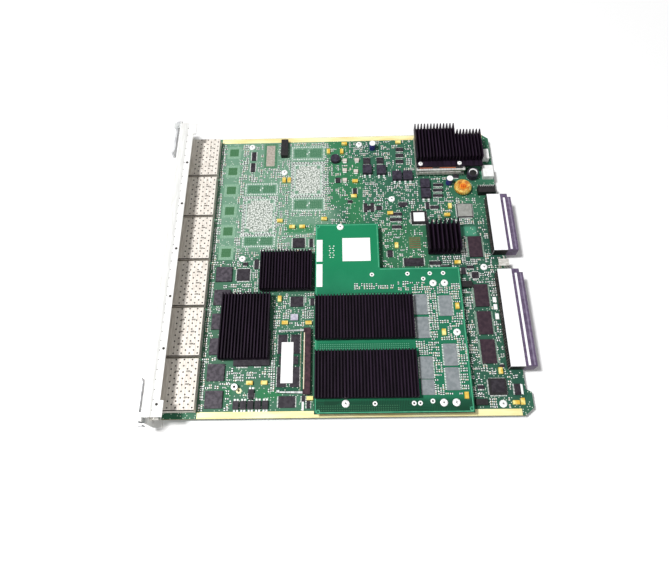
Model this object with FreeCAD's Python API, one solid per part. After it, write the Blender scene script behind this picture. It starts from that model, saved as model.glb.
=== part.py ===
import FreeCAD, Part
import math
import os

# Line card of a modular network switch, in millimetres.
# +X runs from the faceplate to the backplane connectors, +Y from the near long edge
# of the board to the far one, +Z up. The origin is under the middle of the card.

V = FreeCAD.Vector

# ---------------------------------------------------------------- main board
board_length = 390.0
board_width = 370.0
board_thickness = 2.4
layout_board = (390.0, 370.0)        # board that the part places below are given for
lead_in_length = 10.0        # slanted rear corners that find the card guides
lead_in_depth = 8.0
rear_tab_reach = 6.0         # near rear corner stands past the rear edge
rear_tab_width = 20.0
rear_tab_corner = 3.0
screw_hole_radius = 1.75

# ------------------------------------------------------------- carrier tray
tray_sheet = 1.2
tray_side_inset = 8.0        # leaves the board edges free for the card guides
tray_rear_inset = 4.0
tray_lap = 8.0               # front lip that lies on the faceplate return
joggle_clearance = 0.3       # between the return's edge and the tray's step
side_wall_gap = 2.0          # behind the light pipes
standoff_height = 6.0
standoff_across_flats = 6.0
wall_gap = 0.3               # between the edge standoffs and the tray's side walls
thread_radius = 1.5
thread_depth = 4.5

# --------------------------------------------------------------- faceplate
face_sheet = 1.5
face_height = 40.0
face_overhang = 7.0                  # faceplate past each long edge of the board
face_bend_radius = 1.4
face_ahead_of_board = 12.0
top_return_depth = 18.5
top_return_inset = 4.1               # from each faceplate end
top_return_end_pad = (17.0, 3.6)     # along Y, extra depth
bottom_return_depth = 11.0
gasket_width = 9.0
gasket_rise = 0.9
gasket_sheet = 0.3
gasket_front_inset = 2.0

# ------------------------------------------------------- pluggable-module cages
cage_count = 6
ports_per_cage = 4
cage_row_inset = 5.6                 # from each long edge of the board
cage_gap = 2.4
cage_height = 9.8
cage_sheet = 0.4
cage_length = 48.9
cage_nose = 0.5                      # cage mouth stands out of the faceplate
cage_slot_size = (4.2, 1.7)
cage_slot_insets = (26.6, 39.0)      # from the cage mouth
mouth_gasket = 1.0                   # spring gasket ring between cage and faceplate
mouth_gasket_depth = 2.6
mouth_clearance = 0.1
socket_size = (9.0, 11.4, 7.6)       # card-edge socket at the back of each port
socket_slot = (6.0, 8.6, 1.4)
socket_rear_gap = 0.8
light_pipe_side = 2.0
light_pipe_clearance = 0.15
light_pipe_lift = 0.5                # over the tray's front lip
light_pipe_tail = 4.0                # length that lies under the board edge

# --------------------------------------------------- captive screws and levers
captive_inset = 7.5                  # from the faceplate end
captive_z = 14.8
captive_shank_radius = 2.0
captive_shank_reach = 4.2            # behind the faceplate front
captive_thread_radius = 1.75
captive_thread_length = 7.0
captive_knob_radius = 4.3
captive_knob_length = 7.0
captive_knob_gap = 2.0
captive_slot = (1.2, 1.6)            # width, depth
captive_clearance = 0.08
sleeve_radius = 2.9
sleeve_reach = 1.6                   # in front of the faceplate
sleeve_tail = 2.5
lever_pin_radius = 1.5
lever_pin_clearance = 0.05
lever_pin_head = (2.4, 0.9)          # radius, height
lever_pivot_inset = 5.0              # from the faceplate end
lever_pivot_stand_off = 5.0          # in front of the faceplate
lever_height = 11.4
lever_z = 24.2
lever_hub_radius = 3.4
lever_arm_length = 42.0
lever_arm_thickness = 2.4
lever_claw_reach = 8.5
lever_claw_thickness = 3.2
lever_claw_nose = 4.2
lever_claw_corner = 2.0
lever_claw_step = (1.6, 3.0)         # nose thickness, and with its chamfer
lever_tip = (6.0, 2.4)               # bent-out end of the arm: length, offset
lever_play = 0.3
ear_sheet = 1.2
ear_width = 8.0
ear_foot = 2.6
notch_depth = 11.5

# --------------------------------------------------------- backplane connectors
connector_shell_depth = 16.0
connector_height = 13.0
connector_housing_depth = 12.3
connector_housing_drop = 1.9
connector_board_gap = 0.2
connector_band_inset = 2.8           # bright spring band on top of the housing
connector_band_size = (2.4, 0.3)
connector_slot_size = (6.0, 1.0, 8.6)
connector_slot_pitch = 4.0
connector_end_wall = 3.5
connector_key = (4.0, 4.6)
connector_band_end = 1.0
fabric_connector_near = 49.5
fabric_connector_length = 115.5
connector_gap = 24.5                 # room for the guide socket
bus_connector_length = 77.5
guide_socket_size = (12.0, 9.0, 9.0)
guide_socket_bore_radius = 2.6
guide_socket_offset = 10.5           # from the fabric connector
guide_socket_depth = 10.0

# ------------------------------------------------- heat sinks and daughter board
fin_thickness = 1.3
sink_base = 2.4
low_sink_base = 3.4                      # under the dense fins of the low sinks
daughter_front = 163.6
daughter_near = 1.5


# ---------------------------------------------------------------- datum planes
face_to_tip = captive_knob_length + captive_knob_gap
front_reach = face_ahead_of_board + face_to_tip
rear_reach = connector_board_gap + connector_housing_depth
card_length = front_reach + board_length + rear_reach
board_front = front_reach - card_length / 2
board_rear = board_front + board_length
board_near = -board_width / 2
board_far = board_width / 2
board_bottom = tray_sheet + standoff_height
board_top = board_bottom + board_thickness
face_x = board_front - face_ahead_of_board
cage_mouth_x = face_x - cage_nose
face_length = board_width + 2 * face_overhang
top_return_length = face_length - 2 * top_return_inset
cage_pitch = (board_width - 2 * cage_row_inset) / cage_count
cage_width = cage_pitch - cage_gap
port_pitch = (cage_width - cage_sheet) / ports_per_cage
cage_rows_near = -cage_count * cage_pitch / 2

# The layout stretches with the board, so that its parts keep clear of each other.
stretch = (board_length / layout_board[0], board_width / layout_board[1], 1.0)


def plan(size):
    """Plan size of a board part, with its height left as it is."""
    return tuple(length * factor for length, factor in zip(size, stretch))


def from_front(distance):
    return board_front + distance * stretch[0]


def from_rear(distance):
    return board_rear - distance * stretch[0]


def from_near(distance):
    return board_near + distance * stretch[1]


def from_far(distance):
    return board_far - distance * stretch[1]


# --------------------------------------------------------------- shape helpers
def block(x, y, z, size):
    """Box with its low corner at x, y, z."""
    return Part.makeBox(size[0], size[1], size[2], V(x, y, z))


def pad(x, y, z, size):
    """Box that stands on z with its middle over x, y."""
    return block(x - size[0] / 2, y - size[1] / 2, z, size)


def post(x, y, z, radius, height):
    """Upright cylinder."""
    return Part.makeCylinder(radius, height, V(x, y, z))


def rod(x, y, z, radius, length):
    """Cylinder along +X."""
    return Part.makeCylinder(radius, length, V(x, y, z), V(1, 0, 0))


def outline_up(points, z, height):
    """Plan outline pulled up from z."""
    wire = Part.makePolygon([V(px, py, z) for px, py in points + points[:1]])
    return Part.Face(wire).extrude(V(0, 0, height))


def outline_along(points, y, length):
    """Side outline, given as x and z, pulled along +Y."""
    wire = Part.makePolygon([V(px, y, pz) for px, pz in points + points[:1]])
    return Part.Face(wire).extrude(V(0, length, 0))


def turned(points, x, y, z):
    """Ring or disc turned about an upright axis, from radius and height pairs."""
    wire = Part.makePolygon([V(x + r, y, z + h) for r, h in points + points[:1]])
    return Part.Face(wire).revolve(V(x, y, z), V(0, 0, 1), 360)


def mirrored(shape):
    """The same piece at the far end of the card."""
    return shape.mirror(V(0, 0, 0), V(0, 1, 0))


def save(name, solids):
    os.makedirs("parts", exist_ok=True)
    Part.makeCompound(solids).exportStep(f"parts/{name}.step")


# ------------------------------------------------------------------ main board
def standoff(x, y, seat, height):
    """Hexagonal spacer with a blind thread from the top."""
    corner = standoff_across_flats / math.sqrt(3)
    flats = [(x + corner * math.cos(math.radians(60 * i)), y + corner * math.sin(math.radians(60 * i)))
             for i in range(6)]
    hole = min(thread_depth, height - 1.0)
    return outline_up(flats, seat, height).cut(
        post(x, y, seat + height - hole, thread_radius, hole))


beside_tray_wall = tray_side_inset + tray_sheet + wall_gap + standoff_across_flats / 2
board_screw_places = [
    (from_front(78), board_far - beside_tray_wall - 2.0),
    (from_front(219.5), board_far - beside_tray_wall - 1.0),
    (from_front(75), from_near(190)), (from_front(122), from_far(56)),
    (from_rear(131.5), from_near(270.5)), (from_rear(27.5), from_near(173.5)),
    (from_rear(26), board_near + beside_tray_wall),
]
board_outline = [
    (board_front, board_near),
    (board_rear + rear_tab_reach - lead_in_length, board_near),
    (board_rear + rear_tab_reach, board_near + lead_in_depth),
    (board_rear + rear_tab_reach, board_near + lead_in_depth + rear_tab_width - rear_tab_corner),
    (board_rear, board_near + lead_in_depth + rear_tab_width),
    (board_rear, board_far - lead_in_depth),
    (board_rear - lead_in_length, board_far),
    (board_front, board_far),
]
main_board = outline_up(board_outline, board_bottom, board_thickness)
for place_x, place_y in board_screw_places:
    main_board = main_board.cut(
        post(place_x, place_y, board_bottom - 1, screw_hole_radius, board_thickness + 2))
save("main_board", [main_board])
save("tray_standoffs", [standoff(x, y, tray_sheet, standoff_height) for x, y in board_screw_places])

# ---------------------------------------------------------------- carrier tray
# A folded pan under the board: floor, side and rear walls, and a front lip that is
# joggled up by one sheet so that it laps over the faceplate's bottom return.
tray_near = board_near + tray_side_inset
tray_width = board_width - 2 * tray_side_inset
tray_rear = board_rear - tray_rear_inset
joggle_x = face_x + bottom_return_depth + joggle_clearance
lip_bottom = face_sheet
tray_floor = outline_along(
    [(joggle_x, 0), (tray_rear, 0), (tray_rear, tray_sheet), (joggle_x + tray_sheet, tray_sheet),
     (joggle_x + tray_sheet, lip_bottom + tray_sheet), (joggle_x - tray_lap, lip_bottom + tray_sheet),
     (joggle_x - tray_lap, lip_bottom), (joggle_x, lip_bottom)],
    tray_near, tray_width)
side_wall_start = board_front + light_pipe_tail + side_wall_gap
side_wall = block(side_wall_start, tray_near, 0, (tray_rear - side_wall_start, tray_sheet, board_bottom))
rear_wall = block(tray_rear - tray_sheet, tray_near, 0, (tray_sheet, tray_width, board_bottom))
save("carrier_tray", [tray_floor.fuse([side_wall, mirrored(side_wall), rear_wall])])

# ------------------------------------------------------------------- faceplate
face_near = -face_length / 2
top_return_near = -top_return_length / 2
return_edge = face_x + top_return_depth
face = outline_along(
    [(face_x, 0), (face_x + bottom_return_depth, 0), (face_x + bottom_return_depth, face_sheet),
     (face_x + face_sheet, face_sheet), (face_x + face_sheet, face_height), (face_x, face_height)],
    face_near, face_length)
face = face.fuse(block(face_x, top_return_near, face_height - face_sheet,
                       (top_return_depth, top_return_length, face_sheet)))
pad_length, pad_depth = top_return_end_pad
end_pad = block(return_edge, top_return_near, face_height - face_sheet, (pad_depth, pad_length, face_sheet))
face = face.fuse([end_pad, mirrored(end_pad)]).removeSplitter()
bend_edges = [edge for edge in face.Edges
              if all(abs(v.X - face_x) < 0.01 and min(abs(v.Z), abs(v.Z - face_height)) < 0.01
                     for v in edge.Vertexes) and edge.Length > face_height]
face = face.makeFillet(face_bend_radius, bend_edges)

cage_nears = [cage_rows_near + cage_pitch * i + (cage_pitch - cage_width) / 2 for i in range(cage_count)]
port_middles = [near + cage_sheet / 2 + port_pitch * (i + 0.5)
                for near in cage_nears for i in range(ports_per_cage)]
window_margin = mouth_gasket + 2 * mouth_clearance
cuts = [block(face_x - 1, near - window_margin, board_top - window_margin,
              (face_sheet + 2, cage_width + 2 * window_margin, cage_height + 2 * window_margin))
        for near in cage_nears]
light_pipe_z = lip_bottom + tray_sheet + light_pipe_lift + light_pipe_side / 2
pipe_window = light_pipe_side + 2 * light_pipe_clearance
cuts += [block(face_x - 1, middle - pipe_window / 2, light_pipe_z - pipe_window / 2,
               (face_sheet + 2, pipe_window, pipe_window)) for middle in port_middles]
notch = block(face_x - 1, face_near - 1, lever_z - lever_play,
              (face_sheet + 2, notch_depth + 1, lever_height + 2 * lever_play))
captive_y = face_near + captive_inset
captive_hole = rod(face_x - 1, captive_y, captive_z, sleeve_radius, face_sheet + 2)
cuts += [notch, mirrored(notch), captive_hole, mirrored(captive_hole)]
save("faceplate", [face.cut(cuts)])

# Bowed spring gasket along the top return, which closes the gap to the next slot.
gasket_front = face_x + gasket_front_inset
bow = [(0, 0), (0.25, 0.8), (0.5, 1), (0.75, 0.8), (1, 0)]
gasket_top = [(gasket_front + gasket_width * u, face_height + gasket_rise * v + gasket_sheet)
              for u, v in bow]
gasket_under = [(x, z - gasket_sheet) for x, z in reversed(gasket_top)]
save("top_gasket", [outline_along(gasket_top + gasket_under, top_return_near, top_return_length)])

# ------------------------------------------------------- cages, sockets, lamps
cage_inside = cage_height - 2 * cage_sheet


def cage(near):
    """Ganged cage: folded cover with side and rear walls, a base and its dividers."""
    inner_length = cage_length - cage_sheet
    top = block(cage_mouth_x, near, board_top + cage_height - cage_sheet,
                (cage_length, cage_width, cage_sheet))
    side = block(cage_mouth_x, near, board_top, (cage_length, cage_sheet, cage_height))
    far_side = side.translated(V(0, cage_width - cage_sheet, 0))
    rear = block(cage_mouth_x + inner_length, near, board_top, (cage_sheet, cage_width, cage_height))
    cover = top.fuse([side, far_side, rear]).removeSplitter()
    slot_length, slot_width = cage_slot_size
    dividers = []
    slots = []
    for i in range(1, ports_per_cage):
        divider_near = near + i * port_pitch
        dividers.append(block(cage_mouth_x, divider_near, board_top + cage_sheet,
                              (inner_length, cage_sheet, cage_inside)))
        slots += [pad(cage_mouth_x + inset, divider_near + cage_sheet / 2,
                      board_top + cage_height - cage_sheet - 1, (slot_length, slot_width, cage_sheet + 2))
                  for inset in cage_slot_insets]
    base = block(cage_mouth_x, near + cage_sheet, board_top,
                 (inner_length, cage_width - 2 * cage_sheet, cage_sheet))
    return [cover.cut(slots), base] + dividers


def mouth_ring(near):
    """Spring gasket that fills the window round one cage."""
    outer = block(face_x, near - mouth_gasket, board_top - mouth_gasket,
                  (mouth_gasket_depth, cage_width + 2 * mouth_gasket, cage_height + 2 * mouth_gasket))
    return outer.cut(block(face_x - 1, near, board_top, (mouth_gasket_depth + 2, cage_width, cage_height)))


for index, near in enumerate(cage_nears, start=1):
    save(f"module_cage_{index}", cage(near))
save("mouth_gaskets", [mouth_ring(near) for near in cage_nears])

socket_x = cage_mouth_x + cage_length - cage_sheet - socket_rear_gap - socket_size[0]
socket_z = board_top + cage_sheet


def port_socket(middle):
    """Card-edge socket with a slot for the tongue of a plugged module."""
    body = block(socket_x, middle - socket_size[1] / 2, socket_z, socket_size)
    slot = block(socket_x - 1, middle - socket_slot[1] / 2, socket_z + socket_size[2] / 2,
                 (socket_slot[0] + 1, socket_slot[1], socket_slot[2]))
    return body.cut(slot)


def light_pipe(middle):
    """Clear bar from a lamp under the board edge to its window in the faceplate."""
    low = light_pipe_z - light_pipe_side / 2
    high = light_pipe_z + light_pipe_side / 2
    tail = board_front + light_pipe_tail
    return outline_along(
        [(face_x, low), (tail, low), (tail, board_bottom), (board_front, board_bottom),
         (board_front - high + low, high), (face_x, high)],
        middle - light_pipe_side / 2, light_pipe_side)


save("port_sockets", [port_socket(middle) for middle in port_middles])
save("light_pipes", [light_pipe(middle) for middle in port_middles])

# --------------------------------------------------------------- captive screws
knob_x = face_x - captive_knob_gap - captive_knob_length
knob_end = knob_x + captive_knob_length


def captive_screw():
    """Thumb screw: a slotted knob on a plain shank that ends in a thinner thread."""
    knob = rod(knob_x, captive_y, captive_z, captive_knob_radius, captive_knob_length)
    width, depth = captive_slot
    knob = knob.cut(block(knob_x - 1, captive_y - captive_knob_radius - 1, captive_z - width / 2,
                          (depth + 1, 2 * captive_knob_radius + 2, width)))
    shank_end = face_x + captive_shank_reach
    shank = rod(knob_end, captive_y, captive_z, captive_shank_radius, shank_end - knob_end)
    thread = rod(shank_end, captive_y, captive_z, captive_thread_radius, captive_thread_length)
    return knob.fuse([shank, thread])


def captive_sleeve():
    """Sleeve pressed into the faceplate; the shank slides in it."""
    length = sleeve_reach + face_sheet + sleeve_tail
    start = face_x - sleeve_reach
    return rod(start, captive_y, captive_z, sleeve_radius, length).cut(
        rod(start - 1, captive_y, captive_z, captive_shank_radius + captive_clearance, length + 2))


save("captive_screw_near", [captive_screw()])
save("captive_screw_far", [mirrored(captive_screw())])
save("captive_sleeves", [captive_sleeve(), mirrored(captive_sleeve())])

# --------------------------------------------------------------- ejector levers
pivot_x = face_x - lever_pivot_stand_off
pivot_y = face_near + lever_pivot_inset
lever_top = lever_z + lever_height
ear_low_z = lever_z - lever_play - ear_sheet
ear_high_z = lever_top + lever_play


def lever():
    """Ejector lever, closed: a long arm along the faceplate and a claw past its end."""
    arm_face = pivot_x + lever_arm_thickness / 2
    arm_back = pivot_x - lever_arm_thickness / 2
    arm_end = pivot_y + lever_arm_length
    tip_length, tip_offset = lever_tip
    arm = outline_up(
        [(arm_face, pivot_y), (arm_face, arm_end - tip_length), (arm_face - tip_offset, arm_end),
         (arm_back - tip_offset, arm_end), (arm_back, arm_end - tip_length), (arm_back, pivot_y)],
        lever_z, lever_height)
    claw_back = pivot_x - lever_claw_thickness / 2
    claw_face = pivot_x + lever_claw_thickness / 2
    claw_tip = pivot_y - lever_claw_reach
    nose_x = claw_face + lever_claw_nose
    nose_step, root_step = lever_claw_step
    claw = outline_up(
        [(claw_back, pivot_y), (claw_back, claw_tip + lever_claw_corner),
         (claw_back + lever_claw_corner, claw_tip), (nose_x, claw_tip), (nose_x, claw_tip + nose_step),
         (claw_face, claw_tip + root_step), (claw_face, pivot_y)],
        lever_z, lever_height)
    hub = post(pivot_x, pivot_y, lever_z, lever_hub_radius, lever_height)
    bore = post(pivot_x, pivot_y, lever_z - 1, lever_pin_radius + lever_pin_clearance, lever_height + 2)
    return hub.fuse([arm, claw]).removeSplitter().cut(bore)


def ear(plate_z, foot_z):
    """One L-shaped ear that holds the lever pin, with its foot on the faceplate."""
    reach = lever_pivot_stand_off + lever_hub_radius
    plate = block(face_x - reach, pivot_y - ear_width / 2, plate_z, (reach, ear_width, ear_sheet))
    foot = block(face_x - ear_sheet, pivot_y - ear_width / 2, foot_z, (ear_sheet, ear_width, ear_foot))
    bore = post(pivot_x, pivot_y, plate_z - 1, lever_pin_radius + lever_pin_clearance, ear_sheet + 2)
    return plate.fuse(foot).removeSplitter().cut(bore)


def lever_pin():
    """Headed pin through both ears."""
    head_radius, head_height = lever_pin_head
    length = ear_high_z + ear_sheet - ear_low_z
    shank = post(pivot_x, pivot_y, ear_low_z, lever_pin_radius, length)
    return shank.fuse(post(pivot_x, pivot_y, ear_low_z + length, head_radius, head_height))


ears = [ear(ear_low_z, ear_low_z + ear_sheet - ear_foot), ear(ear_high_z, ear_high_z)]
save("ejector_lever_near", [lever()])
save("ejector_lever_far", [mirrored(lever())])
save("lever_brackets", ears + [mirrored(piece) for piece in ears])
save("lever_pins", [lever_pin(), mirrored(lever_pin())])

# --------------------------------------------------------- backplane connectors
shell_x = board_rear - connector_shell_depth
housing_x = board_rear + connector_board_gap


def connector_shell(near, far):
    """Plated cover over the solder tails at the board edge."""
    return block(shell_x, near, board_top, (connector_shell_depth, far - near, connector_height))


def housing_end(far):
    """Where the housing proper ends; its key fills the rest of the shell's length."""
    return far - connector_key[1]


def connector_housing(near, far):
    """Moulded mating half: a bank of contact slots between two end walls, with a key."""
    low = board_top - connector_housing_drop
    top = board_top + connector_height
    end = housing_end(far)
    housing = block(housing_x, near, low, (connector_housing_depth, end - near, top - low))
    key_length, key_width = connector_key
    housing = housing.fuse(block(housing_x, end, board_top + connector_height / 2,
                                 (connector_housing_depth - key_length, key_width,
                                  connector_height / 2)))
    slot_depth, slot_width, slot_height = connector_slot_size
    slot_count = int((end - near - 2 * connector_end_wall) // connector_slot_pitch)
    first = (near + end) / 2 - (slot_count - 1) * connector_slot_pitch / 2
    slots = [pad(housing_x + connector_housing_depth, first + i * connector_slot_pitch,
                 (low + top - slot_height) / 2, (2 * slot_depth, slot_width, slot_height))
             for i in range(slot_count)]
    return housing.removeSplitter().cut(slots)


def connector_band(near, far):
    """Bright spring band on the housing's roof."""
    depth, rise = connector_band_size
    return block(housing_x + connector_band_inset, near + connector_band_end, board_top + connector_height,
                 (depth, housing_end(far) - near - 2 * connector_band_end, rise))


fabric_connector_far = fabric_connector_near + fabric_connector_length
bus_connector_near = fabric_connector_far + connector_gap
bus_connector_far = bus_connector_near + bus_connector_length
connector_ends = {"fabric": (from_near(fabric_connector_near), from_near(fabric_connector_far)),
                  "bus": (from_near(bus_connector_near), from_near(bus_connector_far))}
for use, ends in connector_ends.items():
    save(f"{use}_connector_shell", [connector_shell(*ends)])
    save(f"{use}_connector_housing", [connector_housing(*ends)])
save("connector_bands", [connector_band(*ends) for ends in connector_ends.values()])

guide_length, guide_width, guide_height = guide_socket_size
guide_y = from_near(fabric_connector_far + guide_socket_offset)
guide_block = block(board_rear - guide_length, guide_y - guide_width / 2, board_top, guide_socket_size)
guide_bore = rod(board_rear - guide_socket_depth, guide_y, board_top + guide_height / 2,
                 guide_socket_bore_radius, guide_socket_depth + 1)
save("guide_socket", [guide_block.cut(guide_bore)])


# ------------------------------------------------------------------ heat sinks
def finned_sink(x, y, z, size, fin_count, base):
    """Extruded sink: a comb outline pulled along Y, its fins evenly spread over the base."""
    length, width, height = plan(size)
    pitch = (length - fin_thickness) / (fin_count - 1)
    comb = [(x, z), (x + length, z)]
    for i in reversed(range(fin_count)):
        fin_x = x + i * pitch
        comb += [(fin_x + fin_thickness, z + height), (fin_x, z + height)]
        if i:
            comb += [(fin_x, z + base), (fin_x - pitch + fin_thickness, z + base)]
    return outline_along(comb, y, width)


def package(x, y, z, size):
    """Part of the layout with its middle over x, y, standing on z."""
    return pad(x, y, z, plan(size))


port_chip_size = (40.0, 40.0, 3.6)
port_sink_size = (55.0, 78.0, 9.0)
port_sink_corner = (57.0, 63.5)
port_chip_middle = (93.5, 77.0)
save("port_heat_sink", [finned_sink(from_front(port_sink_corner[0]), from_near(port_sink_corner[1]),
                                    board_top + port_chip_size[2], port_sink_size, 16, low_sink_base)])

queue_chip_size = (40.0, 38.0, 3.6)
queue_sink_size = (60.5, 50.0, 9.0)
queue_sink_gap = 4.4                     # to the port sink, and to the daughter board
queue_x = daughter_front - queue_sink_gap - queue_sink_size[0]
queue_y = port_sink_corner[1] + port_sink_size[1] + queue_sink_gap
save("queue_heat_sink", [finned_sink(from_front(queue_x), from_near(queue_y),
                                     board_top + queue_chip_size[2], queue_sink_size, 18, low_sink_base)])

bus_switch_chip_size = (31.0, 31.0, 3.0)
bus_sink_size = (38.0, 40.5, 15.0)
bus_sink_rear = 92.0
bus_sink_near = 190.5
bus_sink_far = bus_sink_near + bus_sink_size[1]
save("switch_chips", [
    package(from_front(port_chip_middle[0]), from_near(port_chip_middle[1]), board_top, port_chip_size),
    package(from_front(queue_x + queue_sink_size[0] / 2), from_near(queue_y + queue_sink_size[1] / 2),
            board_top, queue_chip_size),
    package(from_rear(bus_sink_rear - bus_sink_size[0] / 2), from_near(bus_sink_near + bus_sink_size[1] / 2),
            board_top, bus_switch_chip_size)])
save("bus_heat_sink", [finned_sink(from_rear(bus_sink_rear), from_near(bus_sink_near),
                                   board_top + bus_switch_chip_size[2], bus_sink_size, 8, sink_base)])

# ------------------------------------------------------------- power converter
# Half-brick converter on pins, under a tall sink that reaches past its rear side.
brick_size = (61.0, 58.0)
brick_rear = 99.0
brick_far = 66.0
brick_board = (3.0, 1.6)                 # height over the main board, thickness
brick_plate = (10.2, 2.5)
brick_core_inset = 4.0
brick_pin_side = 1.6
brick_pin_columns = (0.06, 0.94)         # shares of the brick's length
brick_pin_rows = (0.2, 0.4, 0.6, 0.8)    # shares of its width
converter_sink_size = (83.0, 59.0, 12.5)
converter_sink_shift = 5.0               # toward the far edge
converter_notch = (30.0, 10.0)           # short fins over the rear far corner
converter_ledge = 7.0                    # fins stop short of the front screws
brick_x = from_rear(brick_rear)
brick_y = from_far(brick_far)
brick_length, brick_width = plan(brick_size)
brick_board_z = board_top + brick_board[0]
brick_plate_z = board_top + brick_plate[0]
brick_core_z = brick_board_z + brick_board[1]
brick_pieces = [
    block(brick_x, brick_y, brick_board_z, (brick_length, brick_width, brick_board[1])),
    block(brick_x + brick_core_inset, brick_y + brick_core_inset, brick_core_z,
          (brick_length - 2 * brick_core_inset, brick_width - 2 * brick_core_inset,
           brick_plate_z - brick_core_z)),
    block(brick_x, brick_y, brick_plate_z, (brick_length, brick_width, brick_plate[1])),
]
brick_pins = [pad(brick_x + u * brick_length, brick_y + v * brick_width, board_top,
                  (brick_pin_side, brick_pin_side, brick_board[0]))
              for u in brick_pin_columns for v in brick_pin_rows]
save("power_converter", brick_pieces + brick_pins)

sink_z = brick_plate_z + brick_plate[1]
sink_length, sink_width, sink_height = plan(converter_sink_size)
sink_y = brick_y + converter_sink_shift * stretch[1]
converter_sink = finned_sink(brick_x, sink_y, sink_z, converter_sink_size, 21, sink_base)
fins_only = sink_height - sink_base + 1
notch_length, notch_width = plan(converter_notch)
converter_sink = converter_sink.cut([
    block(brick_x - 1, sink_y - 1, sink_z + sink_base, (sink_length + 2, converter_ledge + 1, fins_only)),
    block(brick_x + sink_length - notch_length, sink_y + sink_width - notch_width, sink_z - 1,
          (notch_length + 1, notch_width + 1, sink_height + 2)),
])
save("converter_heat_sink", [converter_sink])

# -------------------------------------------------------------- daughter board
stack_height = 10.4
daughter_thickness = 1.6
daughter_length = 167.4
daughter_width = 227.5
daughter_arm_length = 75.4               # narrow arm toward the far side
daughter_body_width = 167.5
daughter_hole_radius = 1.75
dx = from_front(daughter_front)
dy = from_near(daughter_near)
daughter_z = board_top + stack_height
daughter_top = daughter_z + daughter_thickness


def on_daughter(x, y):
    """Place on the daughter board, from its front near corner."""
    return dx + x * stretch[0], dy + y * stretch[1]


daughter_outline = [
    on_daughter(0, 0), on_daughter(daughter_length, 0), on_daughter(daughter_length, daughter_body_width),
    on_daughter(daughter_arm_length, daughter_body_width), on_daughter(daughter_arm_length, daughter_width),
    on_daughter(0, daughter_width),
]
daughter_screw_places = [on_daughter(x, y) for x, y in (
    (29.9, 223.0), (33.4, 10.5), (135.9, 10.5), (148.9, 10.5), (156.9, 87.5), (135.4, 147.0), (148.4, 147.0))]
daughter_board = outline_up(daughter_outline, daughter_z, daughter_thickness)
for place_x, place_y in daughter_screw_places:
    daughter_board = daughter_board.cut(
        post(place_x, place_y, daughter_z - 1, daughter_hole_radius, daughter_thickness + 2))
save("daughter_board", [daughter_board])
save("daughter_standoffs", [standoff(x, y, board_top, stack_height) for x, y in daughter_screw_places])

# Two stacking connectors under it, each a socket on the main board and a plug.
stacking_socket_size = (7.0, 52.0, 6.0)
stacking_plug_size = (5.8, 50.0, stack_height - stacking_socket_size[2])
stacking_places = [on_daughter(120.4, 42.5), on_daughter(120.4, 104.5)]
save("stacking_connectors",
     [package(x, y, board_top, stacking_socket_size) for x, y in stacking_places]
     + [package(x, y, board_top + stacking_socket_size[2], stacking_plug_size) for x, y in stacking_places])

# Two large processors, each under a full-width sink.
processor_size = (42.5, 42.5, 2.6)
processor_sink_size = (109.2, 51.5, 7.8)
processor_sink_inset = 0.8
processor_sink_nears = {"forwarding": 80.0, "policy": 15.5}
processor_x = processor_sink_inset + processor_sink_size[0] / 2
save("processors", [
    package(*on_daughter(processor_x, near + processor_sink_size[1] / 2), daughter_top, processor_size)
    for near in processor_sink_nears.values()])
for use, near in processor_sink_nears.items():
    save(f"{use}_heat_sink", [finned_sink(
        *on_daughter(processor_sink_inset, near), daughter_top + processor_size[2],
        processor_sink_size, 32, low_sink_base)])

daughter_memory_size = (14.0, 24.5, 1.3)
daughter_memory_places = [(119.4, 121.0), (119.4, 93.5), (120.4, 48.0),
                          (147.2, 119.0), (147.2, 62.0), (147.2, 35.5)]
save("daughter_memory", [package(*on_daughter(x, y), daughter_top, daughter_memory_size)
                         for x, y in daughter_memory_places])

# --------------------------------------------------------------- memory module
module_size = plan((31.8, 67.6, 1.0))
module_chip_columns = (5.9, 20.2)        # middles, from the module's front edge
module_chip_rows = (-18.6, 18.6)         # middles, from the module's own
module_front = 121.7
module_near = 28.0
module_lift = 3.0
module_insert = 2.6
module_chip_size = (10.0, 22.2, 1.1)
module_register_size = (7.0, 9.0, 1.0)
module_fit = 0.1
memory_socket_size = (8.0, 5.2)          # along X, height
latch_thickness = 1.2
latch_play = 0.3
latch_height = 3.6
latch_hook = (3.0, 1.0, 0.7)             # along X, over the module, thickness
latch_pivot_radius = 0.8
latch_pivot_clearance = 0.05
cheek_thickness = 1.0
cheek_width = 3.6
socket_end = 0.4                         # socket past each end of the module
hub_inset = 0.2
latch_end_gap = 1.0                      # arm ends, from the module's front and from the socket

module_x = from_front(module_front)
module_y = from_near(module_near)
module_z = board_top + module_lift
module_top = module_z + module_size[2]
module_middle = module_y + module_size[1] / 2
bar_x = module_x + module_size[0] - module_insert
bar_height = memory_socket_size[1]
bar_half = module_size[1] / 2 + socket_end
pivot_latch_x = bar_x + memory_socket_size[0] / 2
pivot_latch_y = module_middle - bar_half - cheek_width / 2


def memory_socket():
    """Socket bar with a slot for the module edge and a cheek at each end for its latch."""
    bar = block(bar_x, module_middle - bar_half, board_top,
                (memory_socket_size[0], 2 * bar_half, bar_height))
    slot = block(bar_x - 1, module_y - module_fit, module_z - module_fit,
                 (module_insert + module_fit + 1, module_size[1] + 2 * module_fit,
                  module_size[2] + 2 * module_fit))
    cheek = block(bar_x, module_middle - bar_half - cheek_width, board_top + bar_height - cheek_thickness,
                  (memory_socket_size[0], cheek_width, cheek_thickness))
    pivot = post(pivot_latch_x, pivot_latch_y, board_top, latch_pivot_radius, bar_height - cheek_thickness)
    near_end = cheek.fuse(pivot)
    far_end = near_end.mirror(V(0, module_middle, 0), V(0, 1, 0))
    return bar.cut(slot).fuse([near_end, far_end]).removeSplitter()


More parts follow.
